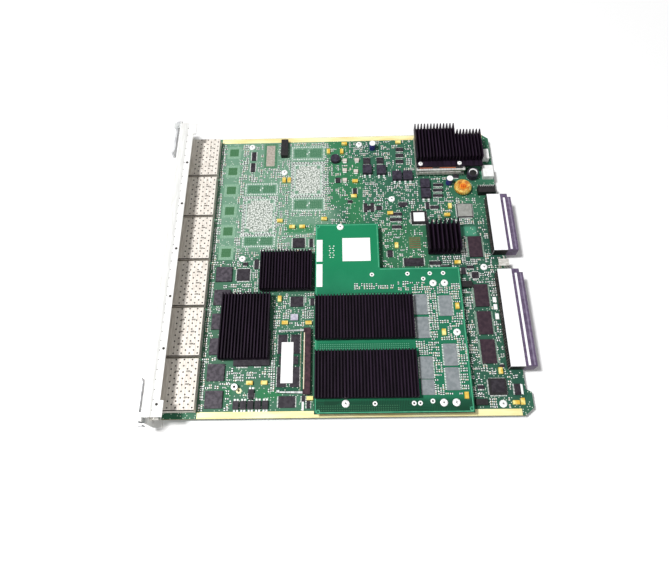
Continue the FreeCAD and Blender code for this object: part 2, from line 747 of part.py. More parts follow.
def memory_latch():
    """Latch arm beside the module; its hook lies over the module's edge."""
    low = board_top + latch_play
    arm_inner = module_y - latch_play
    arm_start = module_x + latch_end_gap
    arm = outline_up(
        [(arm_start, arm_inner), (arm_start, arm_inner - latch_thickness),
         (pivot_latch_x, pivot_latch_y - latch_thickness / 2),
         (pivot_latch_x, pivot_latch_y + latch_thickness / 2), (bar_x - latch_end_gap, arm_inner)],
        low, latch_height)
    hub = post(pivot_latch_x, pivot_latch_y, low, cheek_width / 2 - hub_inset, latch_height)
    hook_length, hook_reach, hook_thickness = latch_hook
    hook_low = module_top + latch_play
    hook = block(arm_start, arm_inner - latch_thickness, low + latch_height - hook_thickness / 2,
                 (hook_length, latch_thickness, hook_low - low - latch_height + hook_thickness * 1.5))
    lip = block(arm_start, arm_inner - latch_thickness, hook_low,
                (hook_length, latch_thickness + latch_play + hook_reach, hook_thickness))
    bore = post(pivot_latch_x, pivot_latch_y, low - 1, latch_pivot_radius + latch_pivot_clearance,
                latch_height + 2)
    return arm.fuse([hub, hook, lip]).removeSplitter().cut(bore)


save("memory_socket", [memory_socket()])
save("memory_module", [block(module_x, module_y, module_z, module_size)])
column_places = [module_x + column * stretch[0] for column in module_chip_columns]
save("memory_chips",
     [package(x, module_middle + row * stretch[1], module_top, module_chip_size)
      for x in column_places for row in module_chip_rows]
     + [package(x, module_middle, module_top, module_register_size) for x in column_places])
save("memory_latch_near", [memory_latch()])
save("memory_latch_far", [memory_latch().mirror(V(0, module_middle, 0), V(0, 1, 0))])

# ------------------------------------------------------------- chips on the board
port_driver_size = (19.0, 19.0, 2.4)
port_driver_pitch = 29.8
port_driver_count = 6
first_port_driver = (54.5, 20.3)
save("port_drivers", [
    package(from_front(first_port_driver[0]), from_near(first_port_driver[1] + port_driver_pitch * i),
            board_top, port_driver_size) for i in range(port_driver_count)])

bus_chip_size = (15.8, 27.5, 2.2)
bus_chip_rear = 34.9
bus_chip_nears = (70.0, 103.5, 137.0, 200.5)
save("bus_drivers", [package(from_rear(bus_chip_rear), from_near(near), board_top, bus_chip_size)
                     for near in bus_chip_nears])

logic_chips = [
    (from_rear(42.4), from_near(251.0), (19.0, 19.0, 2.6)),
    (from_rear(109.5), from_near(181.5), (23.5, 10.5, 1.2)),
    (from_rear(39.0), from_near(163.0), (8.0, 8.0, 1.4)),
    (from_rear(9.0), from_near(27.5), (6.5, 12.0, 1.8)),
    (from_front(77.5), from_near(168.5), (15.5, 15.5, 1.2)),
    (from_front(142.0), from_near(133.0), (14.5, 12.5, 1.8)),
    (from_front(142.5), from_near(210.0), (14.5, 13.0, 1.8)),
    (from_front(133.5), from_near(17.0), (18.0, 12.5, 1.2)),
    (from_front(81.0), from_far(29.5), (5.5, 13.5, 1.2)),
    (from_front(80.5), from_far(47.0), (5.5, 13.5, 1.2)),
    (from_rear(162.0), from_near(258.0), (7.0, 5.5, 1.6)),
    (from_rear(148.0), from_near(257.5), (7.0, 5.5, 1.6)),
    (from_rear(118.5), from_near(261.0), (7.0, 5.5, 1.6)),
]
save("logic_chips", [package(x, y, board_top, size) for x, y, size in logic_chips])

# Two socketed memories: a square socket frame with the chip dropped into it.
rom_socket_size = (18.5, 17.5, 3.6)
rom_wall = 2.0
rom_floor = 1.0
rom_recess_size = (rom_socket_size[0] - 2 * rom_wall, rom_socket_size[1] - 2 * rom_wall, rom_socket_size[2])
rom_chip_size = (14.3, 13.3, 2.8)
rom_places = [(from_rear(99.5), from_near(242.0)), (from_rear(30.0), from_near(30.5))]
save("rom_sockets", [package(x, y, board_top, rom_socket_size).cut(
    package(x, y, board_top + rom_floor, rom_recess_size)) for x, y in rom_places])
save("rom_chips", [package(x, y, board_top + rom_floor, rom_chip_size) for x, y in rom_places])

# -------------------------------------------------------------- headers and terminals
headers = [
    (from_front(121.5), from_far(19.5), (9.0, 26.0, 6.0)),
    (from_rear(50.5), from_near(150.5), (12.0, 7.5, 5.0)),
    (from_rear(49.0), from_near(14.0), (12.5, 6.0, 5.0)),
    (from_rear(13.0), from_near(bus_connector_far + 11.5), (21.0, 10.0, 8.0)),
]
save("headers", [package(x, y, board_top, size) for x, y, size in headers])
terminals = [(from_rear(8.0), from_far(64.0), (13.0, 17.0, 7.0)),
             (from_rear(8.0), from_far(37.5), (8.0, 15.0, 7.0))]
save("power_terminals", [package(x, y, board_top, size) for x, y, size in terminals])

# ----------------------------------------------------------------- power parts
inductor_size = (11.6, 13.0, 5.0)
inductors = [
    (from_rear(123.2), from_far(66.0)), (from_rear(109.6), from_far(66.0)),
    (from_rear(88.5), from_far(79.0)), (from_rear(88.5), from_far(93.5)),
    (from_rear(161.0), from_far(55.5)), (from_rear(143.0), from_far(56.5)),
]
save("inductors", [package(x, y, board_top, inductor_size) for x, y in inductors])

toroid_middle = (from_rear(41.7), from_far(86.0))
toroid_outer = 10.3
toroid_inner = 4.0
toroid_height = 8.0
toroid_round = 2.2
toroid_section = [
    (toroid_inner, toroid_round), (toroid_inner + toroid_round, 0), (toroid_outer - toroid_round, 0),
    (toroid_outer, toroid_round), (toroid_outer, toroid_height - toroid_round),
    (toroid_outer - toroid_round, toroid_height), (toroid_inner + toroid_round, toroid_height),
    (toroid_inner, toroid_height - toroid_round),
]
save("toroid_choke", [turned(toroid_section, toroid_middle[0], toroid_middle[1], board_top)])

round_chokes = [(from_front(188.0), from_far(37.5), 6.0, 5.0), (from_rear(27.5), from_far(67.0), 7.0, 9.0)]
save("round_chokes", [post(x, y, board_top, radius, height) for x, y, radius, height in round_chokes])

can_radius = 3.9
can_height = 11.0
can_places = [(from_rear(153.3), from_far(20.0)), (from_rear(58.0), from_far(77.0))]
save("electrolytic_capacitors", [post(x, y, board_top, can_radius, can_height) for x, y in can_places])

# Moulded capacitors stand in two directions; the first list lies along X.
moulded_size = (7.0, 4.2, 2.9)
along_x = [
    (from_front(118.5), from_near(241.5)), (from_front(134.0), from_near(232.5)),
    (from_front(146.5), from_near(232.5)), (from_front(173.5), from_near(243.0)),
    (from_rear(119.0), from_far(12.0)), (from_rear(190.0), from_far(12.5)),
    (from_rear(177.0), from_far(72.0)), (from_rear(179.0), from_far(94.5)),
    (from_rear(134.5), from_far(120.5)), (from_rear(64.5), from_near(bus_sink_far + 14.5)),
    (from_rear(58.0), from_near(bus_sink_near - 10.5)), (from_front(129.0), from_near(107.0)),
    (from_front(156.0), from_near(106.5)), (from_front(92.5), from_near(38.0)),
    (from_front(108.5), from_near(38.0)), (from_front(158.5), from_near(20.5)),
    (from_rear(12.5), from_near(13.5)),
]
along_y = [
    (from_front(122.0), from_far(68.5)), (from_front(128.5), from_far(68.5)),
    (from_front(179.0), from_far(24.5)), (from_front(196.5), from_far(25.0)),
    (from_rear(60.0), from_near(bus_sink_far + 27.0)), (from_rear(129.0), from_near(204.0)),
    (from_front(122.0), from_near(136.5)), (from_rear(24.5), from_near(48.0)),
    (from_rear(5.5), from_near(14.5)),
]
turned_size = (moulded_size[1], moulded_size[0], moulded_size[2])
daughter_caps = [on_daughter(142.4, 87.5), on_daughter(159.9, 118.0), on_daughter(159.9, 17.5)]
save("moulded_capacitors", [package(x, y, board_top, moulded_size) for x, y in along_x]
     + [package(x, y, board_top, turned_size) for x, y in along_y]
     + [package(x, y, daughter_top, turned_size) for x, y in daughter_caps])

# A row of dark filter parts along the near edge.
filter_size = (6.2, 8.8, 3.0)
filter_pitch = 7.9
filter_count = 5
filter_places = [(from_front(79.0 + filter_pitch * i), from_near(14.0)) for i in range(filter_count)]
filter_places.append((from_front(94.8), from_near(26.5)))
save("filters", [package(x, y, board_top, filter_size) for x, y in filter_places])
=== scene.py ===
import math
import random

import bmesh
import bpy
from mathutils import Matrix, Vector


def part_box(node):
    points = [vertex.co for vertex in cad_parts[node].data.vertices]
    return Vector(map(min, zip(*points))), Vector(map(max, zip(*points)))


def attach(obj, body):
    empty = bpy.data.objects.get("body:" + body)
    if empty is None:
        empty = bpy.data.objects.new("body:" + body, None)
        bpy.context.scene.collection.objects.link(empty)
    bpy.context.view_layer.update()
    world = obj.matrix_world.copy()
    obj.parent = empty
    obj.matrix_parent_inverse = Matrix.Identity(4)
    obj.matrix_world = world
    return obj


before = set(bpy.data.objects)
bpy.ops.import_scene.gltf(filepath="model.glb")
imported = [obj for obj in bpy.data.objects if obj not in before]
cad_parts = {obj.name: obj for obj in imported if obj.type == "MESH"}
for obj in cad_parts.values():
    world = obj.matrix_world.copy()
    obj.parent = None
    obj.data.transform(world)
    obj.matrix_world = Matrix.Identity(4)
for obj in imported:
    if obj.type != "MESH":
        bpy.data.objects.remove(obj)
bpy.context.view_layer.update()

# ---------------------------------------------- carrier tray
# Folded pan of zinc-plated steel sheet under the board, with its hexagonal spacers.
# The plating gives a satin grey with a fine grain from the rolling of the sheet.
MM = 0.001


def linear(code):
    """An sRGB hex colour as the linear colour that the shaders take."""
    shares = [int(code[i:i + 2], 16) / 255 for i in (1, 3, 5)]
    return [c / 12.92 if c <= 0.04045 else ((c + 0.055) / 1.055) ** 2.4 for c in shares] + [1.0]


def add_node(tree, kind, inputs=(), output=0, **settings):
    """Adds a shader node and gives one output; inputs go by name, or in the node's own order."""
    made = tree.nodes.new("ShaderNode" + kind)
    for name, value in settings.items():
        setattr(made, name, value)
    for name, value in inputs.items() if isinstance(inputs, dict) else enumerate(inputs):
        if isinstance(value, bpy.types.NodeSocket):
            tree.links.new(value, made.inputs[name])
        else:
            made.inputs[name].default_value = value
    return made.outputs[output]


def start_finish(name, colour, roughness, metallic=0.0, **more):
    """A new material: itself, its node tree, its shader and its object coordinates."""
    material = bpy.data.materials.new(name)
    material.use_nodes = True
    tree = material.node_tree
    shader = tree.nodes["Principled BSDF"]
    shader.inputs["Base Color"].default_value = linear(colour)
    shader.inputs["Roughness"].default_value = roughness
    shader.inputs["Metallic"].default_value = metallic
    for setting, value in more.items():
        shader.inputs[setting.replace("_", " ")].default_value = value
    return material, tree, shader, add_node(tree, "TexCoord", output="Object")


def two_tones(tree, where, low, high, patches, edges=(0.4, 0.6)):
    """Colour that wanders between two tones over patches of that many millimetres."""
    noise = add_node(tree, "TexNoise", {"Vector": where, "Scale": 1 / (patches * MM), "Detail": 3.0})
    return add_node(tree, "MixRGB", (add_node(tree, "MapRange", (noise, *edges)), linear(low), linear(high)))


def fine_bump(tree, shader, where, size, depth, detail=2.0):
    """Relief of noise, with its size and its depth in millimetres."""
    height = add_node(tree, "TexNoise", {"Vector": where, "Scale": 1 / (size * MM), "Detail": detail})
    relief = add_node(tree, "Bump", {"Height": height, "Distance": depth * MM, "Strength": 1.0})
    tree.links.new(relief, shader.inputs["Normal"])


def toned_finish(name, low, high, patches, roughness, metallic=0.0, grain=None, bump=None,
                 edges=(0.4, 0.6), **more):
    """Finish in two close tones, drawn out along a grain if it has one, with a fine bump or none."""
    material, tree, shader, where = start_finish(name, high, roughness, metallic, **more)
    if grain:
        where = add_node(tree, "Mapping", {"Vector": where, "Scale": grain})
    tree.links.new(two_tones(tree, where, low, high, patches, edges), shader.inputs["Base Color"])
    if bump:
        fine_bump(tree, shader, where, *bump)
    return material


def sheet_metal(name, low, high, roughness, grain=(1.0, 0.06, 1.0), metallic=1.0):
    """Rolled and plated sheet: two close tones in streaks, with a matching fine bump."""
    return toned_finish(name, low, high, 1.6, roughness, metallic, grain, (0.7, 0.02))


def dress(material, *nodes):
    """Gives that material to these solids."""
    for name in nodes:
        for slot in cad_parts[name].material_slots:
            slot.material = material


zinc_steel = sheet_metal("zinc_plated_rolled_steel", "#B9BBBB", "#D9DBDA", 0.42)
dress(zinc_steel, "carrier_tray", "tray_standoffs", "daughter_standoffs", "lever_brackets", "lever_pins")

# ------------------------------------------------ main board
# Glass-epoxy laminate with a green solder mask. Under the mask, copper tracks show a
# shade lighter and vias as pale dots; the cut edges show the bare brown laminate.
board_low, board_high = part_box("main_board")
BOARD_TOP = board_high.z
TRACK_PITCH = 1.7          # mm; real tracks are 0.3 mm apart, drawn coarser so that they show
TRACK_GAP = 0.55           # share of the pitch that is bare mask
BUNDLE = 24.0              # mm; size of an area whose tracks run one way
VIA_PITCH = 2.6            # mm
VIA_REACH = 0.2            # radius of a via as a share of its pitch


def patch(tree, split, low, high, soft):
    """1 inside a rectangle given in board millimetres, fading to 0 over soft millimetres."""
    shares = []
    for axis, origin, start, end in (("X", board_low.x, low[0], high[0]),
                                     ("Y", board_low.y, low[1], high[1])):
        for edge, reach in ((start, soft / 2), (end, -soft / 2)):
            shares.append(add_node(tree, "MapRange", (
                split[axis], origin + (edge - reach) * MM, origin + (edge + reach) * MM)))
    inside = shares[0]
    for share in shares[1:]:
        inside = add_node(tree, "Math", (inside, share), operation="MULTIPLY")
    return inside


def laminate(node, name, mask, track, tone_patches, track_share, via_share):
    """Dresses a solder-masked board: toned mask, bundles of tracks, vias, and brown edges."""
    material, tree, shader, where = start_finish(name, mask, 0.45, Specular_IOR_Level=0.06)
    split = add_node(tree, "SeparateXYZ", (where,)).node.outputs
    colour = two_tones(tree, where, mask, track, 26.0, (0.3, 0.9))
    for low, high, tone, soft, share in tone_patches:
        strength = add_node(tree, "Math", (patch(tree, split, low, high, soft), share), operation="MULTIPLY")
        colour = add_node(tree, "MixRGB", (strength, colour, linear(tone)))

    # Tracks: each area has its own direction, along, across or aslant, and some have none.
    flat = add_node(tree, "CombineXYZ", (split["X"], split["Y"]))
    area = add_node(tree, "TexVoronoi", {"Vector": flat, "Scale": 1 / (BUNDLE * MM)}, "Color",
                    distance="CHEBYCHEV", voronoi_dimensions="2D")
    pick = add_node(tree, "SeparateColor", (area,)).node.outputs
    upright = add_node(tree, "Math", (pick["Red"], 0.5), operation="GREATER_THAN")
    slanted = add_node(tree, "Math", (pick["Green"], 0.72), operation="GREATER_THAN")
    across = add_node(tree, "Mix", {"Factor": upright, "A": split["Y"], "B": split["X"]})
    along = add_node(tree, "Mix", {"Factor": upright, "A": split["X"], "B": split["Y"]})
    across = add_node(tree, "Math", (along, slanted, across), operation="MULTIPLY_ADD")
    count = add_node(tree, "Math", (across, TRACK_PITCH * MM), operation="DIVIDE")
    line = add_node(tree, "Math", (add_node(tree, "Math", (count,), operation="FRACT"), TRACK_GAP),
                    operation="GREATER_THAN")
    wander = add_node(tree, "TexNoise", {"Vector": where, "Scale": 1 / (30 * MM), "Detail": 1.0})
    present = add_node(tree, "Math", (wander, 0.42), operation="GREATER_THAN")
    drawn = add_node(tree, "Math", (line, present), operation="MULTIPLY")
    tracks = add_node(tree, "Math", (drawn, track_share), operation="MULTIPLY")
    colour = add_node(tree, "MixRGB", (tracks, colour, linear(track)))

    # Vias: pale dots at a share of the points of a loose grid.
    vias = add_node(tree, "TexVoronoi", {"Vector": flat, "Scale": 1 / (VIA_PITCH * MM), "Randomness": 0.55},
                    voronoi_dimensions="2D").node.outputs
    chance = add_node(tree, "SeparateColor", (vias["Color"],), "Blue")
    near = add_node(tree, "Math", (vias["Distance"], VIA_REACH), operation="LESS_THAN")
    drilled = add_node(tree, "Math", (chance, via_share), operation="LESS_THAN")
    dot = add_node(tree, "Math", (near, drilled), operation="MULTIPLY")
    colour = add_node(tree, "MixRGB", (dot, colour, linear("#D6E0D2")))

    # Edges: everything between the two faces is bare brown laminate.
    bottom, top = (corner.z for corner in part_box(node))
    between = (split["Z"], (bottom + top) / 2, (top - bottom) / 2 - 0.05 * MM)
    side = add_node(tree, "Math", between, operation="COMPARE")
    tree.links.new(add_node(tree, "MixRGB", (side, colour, linear("#8A7442"))), shader.inputs["Base Color"])
    relief = add_node(tree, "Bump", {"Height": drawn, "Distance": 0.03 * MM, "Strength": 1.0})
    tree.links.new(relief, shader.inputs["Normal"])
    dress(material, node)


# Patches of the mask: from, to, tone, width of the soft edge, and strength.
laminate("main_board", "solder_masked_laminate", "#2C5E48", "#4A8064", [
    # The pale sage patch below is a painted highlight: a lamp's glare on the mask, painted into its colour.
    ((36, 196), (186, 372), "#7A9E88", 22.0, 0.9),       # round the empty places
    ((176, 262), (204, 372), "#33774F", 10.0, 0.85),     # behind them
    ((30, -4), (66, 200), "#50745F", 14.0, 0.8),         # behind the near cages
    ((66, -4), (162, 196), "#4C7660", 16.0, 0.7),        # round the front sinks
    ((222, 262), (312, 372), "#35604F", 24.0, 0.7),      # under the power parts
    ((300, -4), (400, 240), "#2C5145", 26.0, 0.8),       # rear edge
    ((244, 172), (300, 236), "#356F4C", 14.0, 0.8),      # beside the daughter board's arm
    ((204, 236), (222, 330), "#33784E", 8.0, 0.9),       # plain strip beside the power parts
    ((339, 216), (359, 229), "#4C9478", 3.0, 0.95),      # pale fields and plain green spots
    ((125, 224), (160, 236), "#3A8256", 5.0, 0.9),
    ((60, 22), (74, 34), "#35734F", 5.0, 0.9),
    ((100, 20), (128, 32), "#2E7A4C", 5.0, 0.9),
], 0.34, 0.26)

# --------------------------------------------- ground strips
# Bare gold-plated copper along both long edges, where the card guides touch it. The
# thin gold gives a pale yellow satin band, a little cloudy along its length.
gold = toned_finish("gold_flashed_copper", "#EFDC98", "#F9F1BA", 9.0, 0.5, 0.1, grain=(0.2, 1.0, 1.0))


def on_board(x, y, z=0.0):
    """Point in metres from millimetres on the board, from its front near corner and its top."""
    return Vector((board_low.x + x * MM, board_low.y + y * MM, BOARD_TOP + z * MM))


def number_faces(corners, finish):
    """Gives that material number to every face at these corners."""
    for face in {face for corner in corners for face in corner.link_faces}:
        face.material_index = finish


def block(shape, low, high, finish=0):
    """Box between two corners, with that material number on its faces."""
    size = high - low
    place = Matrix.Translation((low + high) / 2) @ Matrix.Diagonal((size.x, size.y, size.z, 1.0))
    number_faces(bmesh.ops.create_cube(shape, size=1.0, matrix=place)["verts"], finish)


def plate(shape, x, y, size, z, height, finish=0):
    """Flat box with its middle over a board place, all in millimetres."""
    half = Vector((size[0] / 2, size[1] / 2, 0)) * MM
    low = on_board(x, y, z) - half
    block(shape, low, low + 2 * half + Vector((0, 0, height * MM)), finish)


def new_object(name, data):
    """Puts a new object with that data in the scene."""
    made = bpy.data.objects.new(name, data)
    bpy.context.scene.collection.objects.link(made)
    return made


def keep(shape, name, body, slot, *materials):
    """Makes the shape a finished piece that rides on a body."""
    mesh = bpy.data.meshes.new(name)
    shape.to_mesh(mesh)
    shape.free()
    for material in materials:
        mesh.materials.append(material)
    piece = new_object(name, mesh)
    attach(piece, body)
    return piece


strips = bmesh.new()
for start, end, y in ((37.5, 383.0, 3.7), (37.5, 382.0, 366.2)):
    plate(strips, (start + end) / 2, y, (end - start, 7.0), 0.0, 0.06)
keep(strips, "ground_strips", "card", "screw_nickel", gold)

# ----------------------------- empty places for fitted chips
# Places left empty on the far side of the board: plated pad fields on pale mask,
# with a printed white outline round each and a row of small pads beside it.
EMPTY_ARRAYS = ((152.4, 302.8, 31.6, 42.4), (92.8, 250.0, 32.6, 45.6))     # mm: x, y and size
EMPTY_MEMORIES = ((152.3, 344.5, 41.5, 21.0), (93.3, 289.6, 40.2, 17.3),
                  (153.4, 265.4, 39.6, 19.2), (93.2, 214.0, 38.6, 16.0))
DRIVER_X, DRIVER_SIZE = 54.4, (18.0, 19.0)
DRIVER_ROWS = (347.6, 318.0, 288.7, 258.1, 228.6, 198.7)
FIELD = 0.05               # mm; how far a printed or plated field stands on the mask
draw = random.Random(7)


def moulded(name, low, high, roughness=0.42):
    """Moulded epoxy: two close tones and a fine matt grain."""
    return toned_finish(name, low, high, 4.0, roughness, bump=(0.5, 0.015), Specular_IOR_Level=0.12)


def pad_field(name, mask, pad, size, pitch, light=None, stray=0.0):
    """Grid of round pads on mask of two tones; stray moves the pads off their grid."""
    material, tree, shader, where = start_finish(name, mask, 0.5, Specular_IOR_Level=0.06)
    from_pad = add_node(tree, "TexVoronoi", {"Vector": where, "Scale": 1 / (pitch * MM), "Randomness": stray},
                        voronoi_dimensions="2D")
    dot = add_node(tree, "Math", (from_pad, size), operation="LESS_THAN")
    base = two_tones(tree, where, mask, light or mask, 2.5)
    tree.links.new(add_node(tree, "MixRGB", (dot, base, linear(pad))), shader.inputs["Base Color"])
    return material


# Crowded tinned pads shimmer in pale grey; all pad pitches are coarser than real.
array_pads = pad_field("tinned_array_pads", "#79827A", "#E0E4DE", 0.36, 2.4, "#B4BBB2", 0.9)
# Bare mask between pads shows a mid green with faint paler dots, pale or deep by its field.
row_pads = pad_field("mask_between_pads", "#4B795C", "#668F74", 0.3, 2.4, stray=0.3)
pale_mask = pad_field("pale_mask_field", "#7FA58B", "#9CBBA6", 0.25, 2.1, stray=0.5)
deep_mask = pad_field("deep_mask_field", "#47734F", "#54805F", 0.25, 2.1, stray=0.5)
# Printed ink is a flat white that is thin in places; a dipped strip is a dull beige metal.
white_ink = toned_finish("printed_white_ink", "#DDE6DE", "#FFFFFF", 1.5, 0.6)
beige_pad = toned_finish("tinned_copper_strip", "#9C9488", "#B4ABA0", 2.0, 0.45, 0.3)
# Laminate without mask is a dull brown, and the glass film on resistors a soft black.
brown_ink = moulded("bare_brown_laminate", "#6E4A38", "#8A6048", 0.6)
resistor_black = moulded("glazed_black_film", "#17151A", "#28252B", 0.4)


def box_die(*boxes):
    """Small mesh that is stamped many times: boxes by middle, size, foot, height and finish."""
    shape = bmesh.new()
    for x, y, length, width, z, height, finish in boxes:
        low = Vector((x - length / 2, y - width / 2, z)) * MM
        block(shape, low, low + Vector((length, width, height)) * MM, finish)
    die = bpy.data.meshes.new("die")
    shape.to_mesh(die)
    shape.free()
    return die


def stamp(shape, die, x, y, z, along_y=False):
    """Adds the die to the shape at a board place, turned by a quarter if it runs along Y."""
    place = Matrix.Translation(on_board(x, y, z))
    if along_y:
        place = place @ Matrix.Rotation(math.pi / 2, 4, "Z")
    die.transform(place)
    shape.from_mesh(die)
    die.transform(place.inverted())


def dashes(shape, die, x, y, size, step, share=1.0):
    """Dies stamped along the four sides of a rectangle, each across its side; a share of them stays."""
    length, depth = size
    for i in range(int(length / step) + 1):
        for side in (-1, 1):
            if draw.random() < share:
                stamp(shape, die, x - length / 2 + i * step, y + side * depth / 2, 0, True)
    for i in range(int(depth / step) + 1):
        for side in (-1, 1):
            if draw.random() < share:
                stamp(shape, die, x + side * length / 2, y - depth / 2 + i * step, 0)


places = bmesh.new()
pad_dash = box_die((0, 0, 1.9, 0.9, 0, FIELD, 4))
ring_part = box_die((0, 0, 1.6, 1.3, 0, 0.8, 7),
                    (0, -1.1, 1.6, 0.95, 0, 0.85, 4), (0, 1.1, 1.6, 0.95, 0, 0.85, 4))
for x, y, length, width in EMPTY_ARRAYS:
    plate(places, x, y, (length, width - 9), 0.0, FIELD, 0)
    plate(places, x, y, (length - 8, width), FIELD, 0.01, 0)
    dashes(places, pad_dash, x, y, (length + 2.6, width + 2.6), 1.9, 0.9)
    for reach in (6.2, 10.2):
        dashes(places, ring_part, x, y, (length + reach, width + reach), 4.1, 0.9)
for x, y, length, width in EMPTY_MEMORIES:
    for side in (-1, 1):
        plate(places, x + side * length * 0.24, y, (length * 0.38, width * 0.62), 0.0, FIELD, 1)
    dashes(places, pad_dash, x, y, (length, width - 1.5), 2.3)
    for side in (-1, 1):
        plate(places, x + side * 1.4, y + side * 1.6, (1.4, 1.6), 0.0, FIELD, 4)
for y in DRIVER_ROWS:
    plate(places, DRIVER_X, y, DRIVER_SIZE, 0.0, FIELD, 2)
    plate(places, DRIVER_X, y, (11.5, 11.5), FIELD, FIELD, 3)
plate(places, 102.9, 341.5, (11.0, 33.0), 0.0, FIELD, 5)
plate(places, 102.9, 341.5, (17.0, 39.0), 0.0, FIELD / 2, 1)
plate(places, 283.4, 208.0, (14.5, 17.5), 0.0, FIELD, 3)
for i in range(6):
    plate(places, 283.4, 201.5 + 2.6 * i, (13.5, 1.0), FIELD, FIELD, 6)
keep(places, "empty_chip_places", "card", "board_green",
     array_pads, row_pads, pale_mask, deep_mask, white_ink, beige_pad, brown_ink, resistor_black)

# ------------------------------------------------- faceplate
# Steel front panel, bent over at top and bottom. Its plating and clear coat give a
# bright light grey. Small dimples hold the bowed spring gasket along its top.
panel_paint = toned_finish("light_grey_plated_panel", "#E6E6E4", "#F0F0EE", 14.0, 0.5, 0.05,
                           bump=(0.9, 0.015, 3.0))
dress(panel_paint, "faceplate")
# Thin rolled spring steel mirrors more than the panel, in long bright streaks.
spring_strip = sheet_metal("bright_spring_strip", "#E9E9E6", "#F6F6F4", 0.25, (1.0, 0.1, 1.0), 0.6)
dress(spring_strip, "top_gasket", "mouth_gaskets")
# Holes, dimples, recesses and gaps are drawn as flat warm near-black marks: painted shade for the dark inside
# them.
painted_recess_shade = toned_finish("painted_recess_shade", "#1B1817", "#37312D", 1.0, 0.8)


def disc(shape, centre, radius, height, sides=10, finish=0):
    """Low round pip standing on a point."""
    place = Matrix.Translation(centre + Vector((0, 0, height * MM / 2)))
    made = bmesh.ops.create_cone(shape, cap_ends=True, segments=sides, radius1=radius * MM,
                                 radius2=radius * MM, depth=height * MM, matrix=place)
    number_faces(made["verts"], finish)


DIMPLE_STEP = 10.6         # mm
face_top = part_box("faceplate")[1].z
# Painted shade: the dimples and the larger holes along the panel's top are flat dark discs.
dimples = bmesh.new()
dimple_y = board_low.y + 4 * MM
while dimple_y < board_high.y - 2 * MM:
    disc(dimples, Vector((board_low.x - 0.4 * MM, dimple_y, face_top)), 0.55, 0.1)
    dimple_y += DIMPLE_STEP * MM
for y in (10.0, 69.5, 130.1, 190.0, 251.2, 311.2):
    disc(dimples, Vector((board_low.x + 3.4 * MM, board_low.y + y * MM, face_top)), 1.5, 0.12, 14)
keep(dimples, "gasket_dimples", "card", "plated_steel", painted_recess_shade)

# ---------------------------------------------- module cages
# Six ganged cages folded from tinned steel, which looks warm and bright, with soft
# streaks. Their roofs are pierced with staggered round vent holes.
tinned = sheet_metal("bright_tinned_steel", "#D5CDC3", "#EAE4DB", 0.6, (1.0, 0.12, 1.0), 0.08)
dress(tinned, *[f"module_cage_{i}" for i in range(1, 7)])
HOLE_COLUMNS = 7
HOLE_RADIUS = 0.95         # mm
HOLE_STEP = (4.45, 7.0)    # mm, with every other column half a step off
SEAM_WIDTH = 1.2           # mm, the dark gap between one cage and the next
# Painted shade: each vent hole is a flat dark disc on the roof, and a dark strip along each cage's near side
# stands for the shaded gap to the next cage.
vents = bmesh.new()
for cage in range(1, 7):
    low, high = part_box(f"module_cage_{cage}")
    for column in range(HOLE_COLUMNS):
        x = board_low.x + (7.5 + HOLE_STEP[0] * column) * MM
        for row in range(int((high.y - low.y) / MM / HOLE_STEP[1])):
            y = low.y + (row + 0.3 + 0.5 * (column % 2)) * HOLE_STEP[1] * MM + 1.5 * MM
            disc(vents, Vector((x, y, high.z)), HOLE_RADIUS, 0.03, 8)
    block(vents, Vector((low.x + 1 * MM, low.y, high.z)),
          Vector((high.x, low.y + SEAM_WIDTH * MM, high.z + 0.03 * MM)))
keep(vents, "cage_vent_holes", "card", "cage_tin", painted_recess_shade)

# ----------------------------------- sockets and light pipes
# Card-edge sockets and headers of moulded nylon, a flat black with a faint sheen, and
# a plum brown one for the memory. Clear acrylic pipes bring the lamps' light forward.
black_nylon = toned_finish("moulded_black_nylon", "#0F0D0F", "#1E1B1D", 3.0, 0.5, Specular_IOR_Level=0.3)
dress(black_nylon, "port_sockets", "headers", "stacking_connectors", "rom_sockets")
plum_nylon = moulded("moulded_plum_brown_nylon", "#35242B", "#4A333A", 0.5)
dress(plum_nylon, "memory_socket")
acrylic, tree, shader, where = start_finish("clear_moulded_acrylic", "#DDE6E6", 0.12, Transmission_Weight=0.6)
fine_bump(tree, shader, where, 2.0, 0.01)
dress(acrylic, "light_pipes")

# --------------------------------- captive screws and levers
# Nickel-plated brass thumb screws in pressed sleeves, and cast ejector levers on pins.
# Nickel is a warm bright mirror; a bead-blasted casting scatters the light to a pale grey.
nickel = sheet_metal("nickel_plated_brass", "#C9C6BF", "#E4E2DC", 0.24, (0.3, 1.0, 1.0))
dress(nickel, "captive_screw_near", "captive_screw_far", "captive_sleeves", "guide_socket")
cast_lever = toned_finish("bead_blasted_zinc_casting", "#B7B8BA", "#D2D3D4", 5.0, 0.45, 0.8, bump=(0.5, 0.03))
dress(cast_lever, "ejector_lever_near", "ejector_lever_far")

# -------------------------------------- backplane connectors
# Two connector halves past the rear edge: a bright plated shield over the solder
# tails, a bright spring band, and a grey-plum moulding with its contact slots.
shield = sheet_metal("bright_plated_shield", "#F2F2F5", "#FCFCFE", 0.5, (1.0, 0.1, 1.0), 0.1)
dress(shield, "fabric_connector_shell", "bus_connector_shell", "connector_bands")
plum = moulded("moulded_plum_polymer", "#574A62", "#6A5C76", 0.45)
dress(plum, "fabric_connector_housing", "bus_connector_housing")
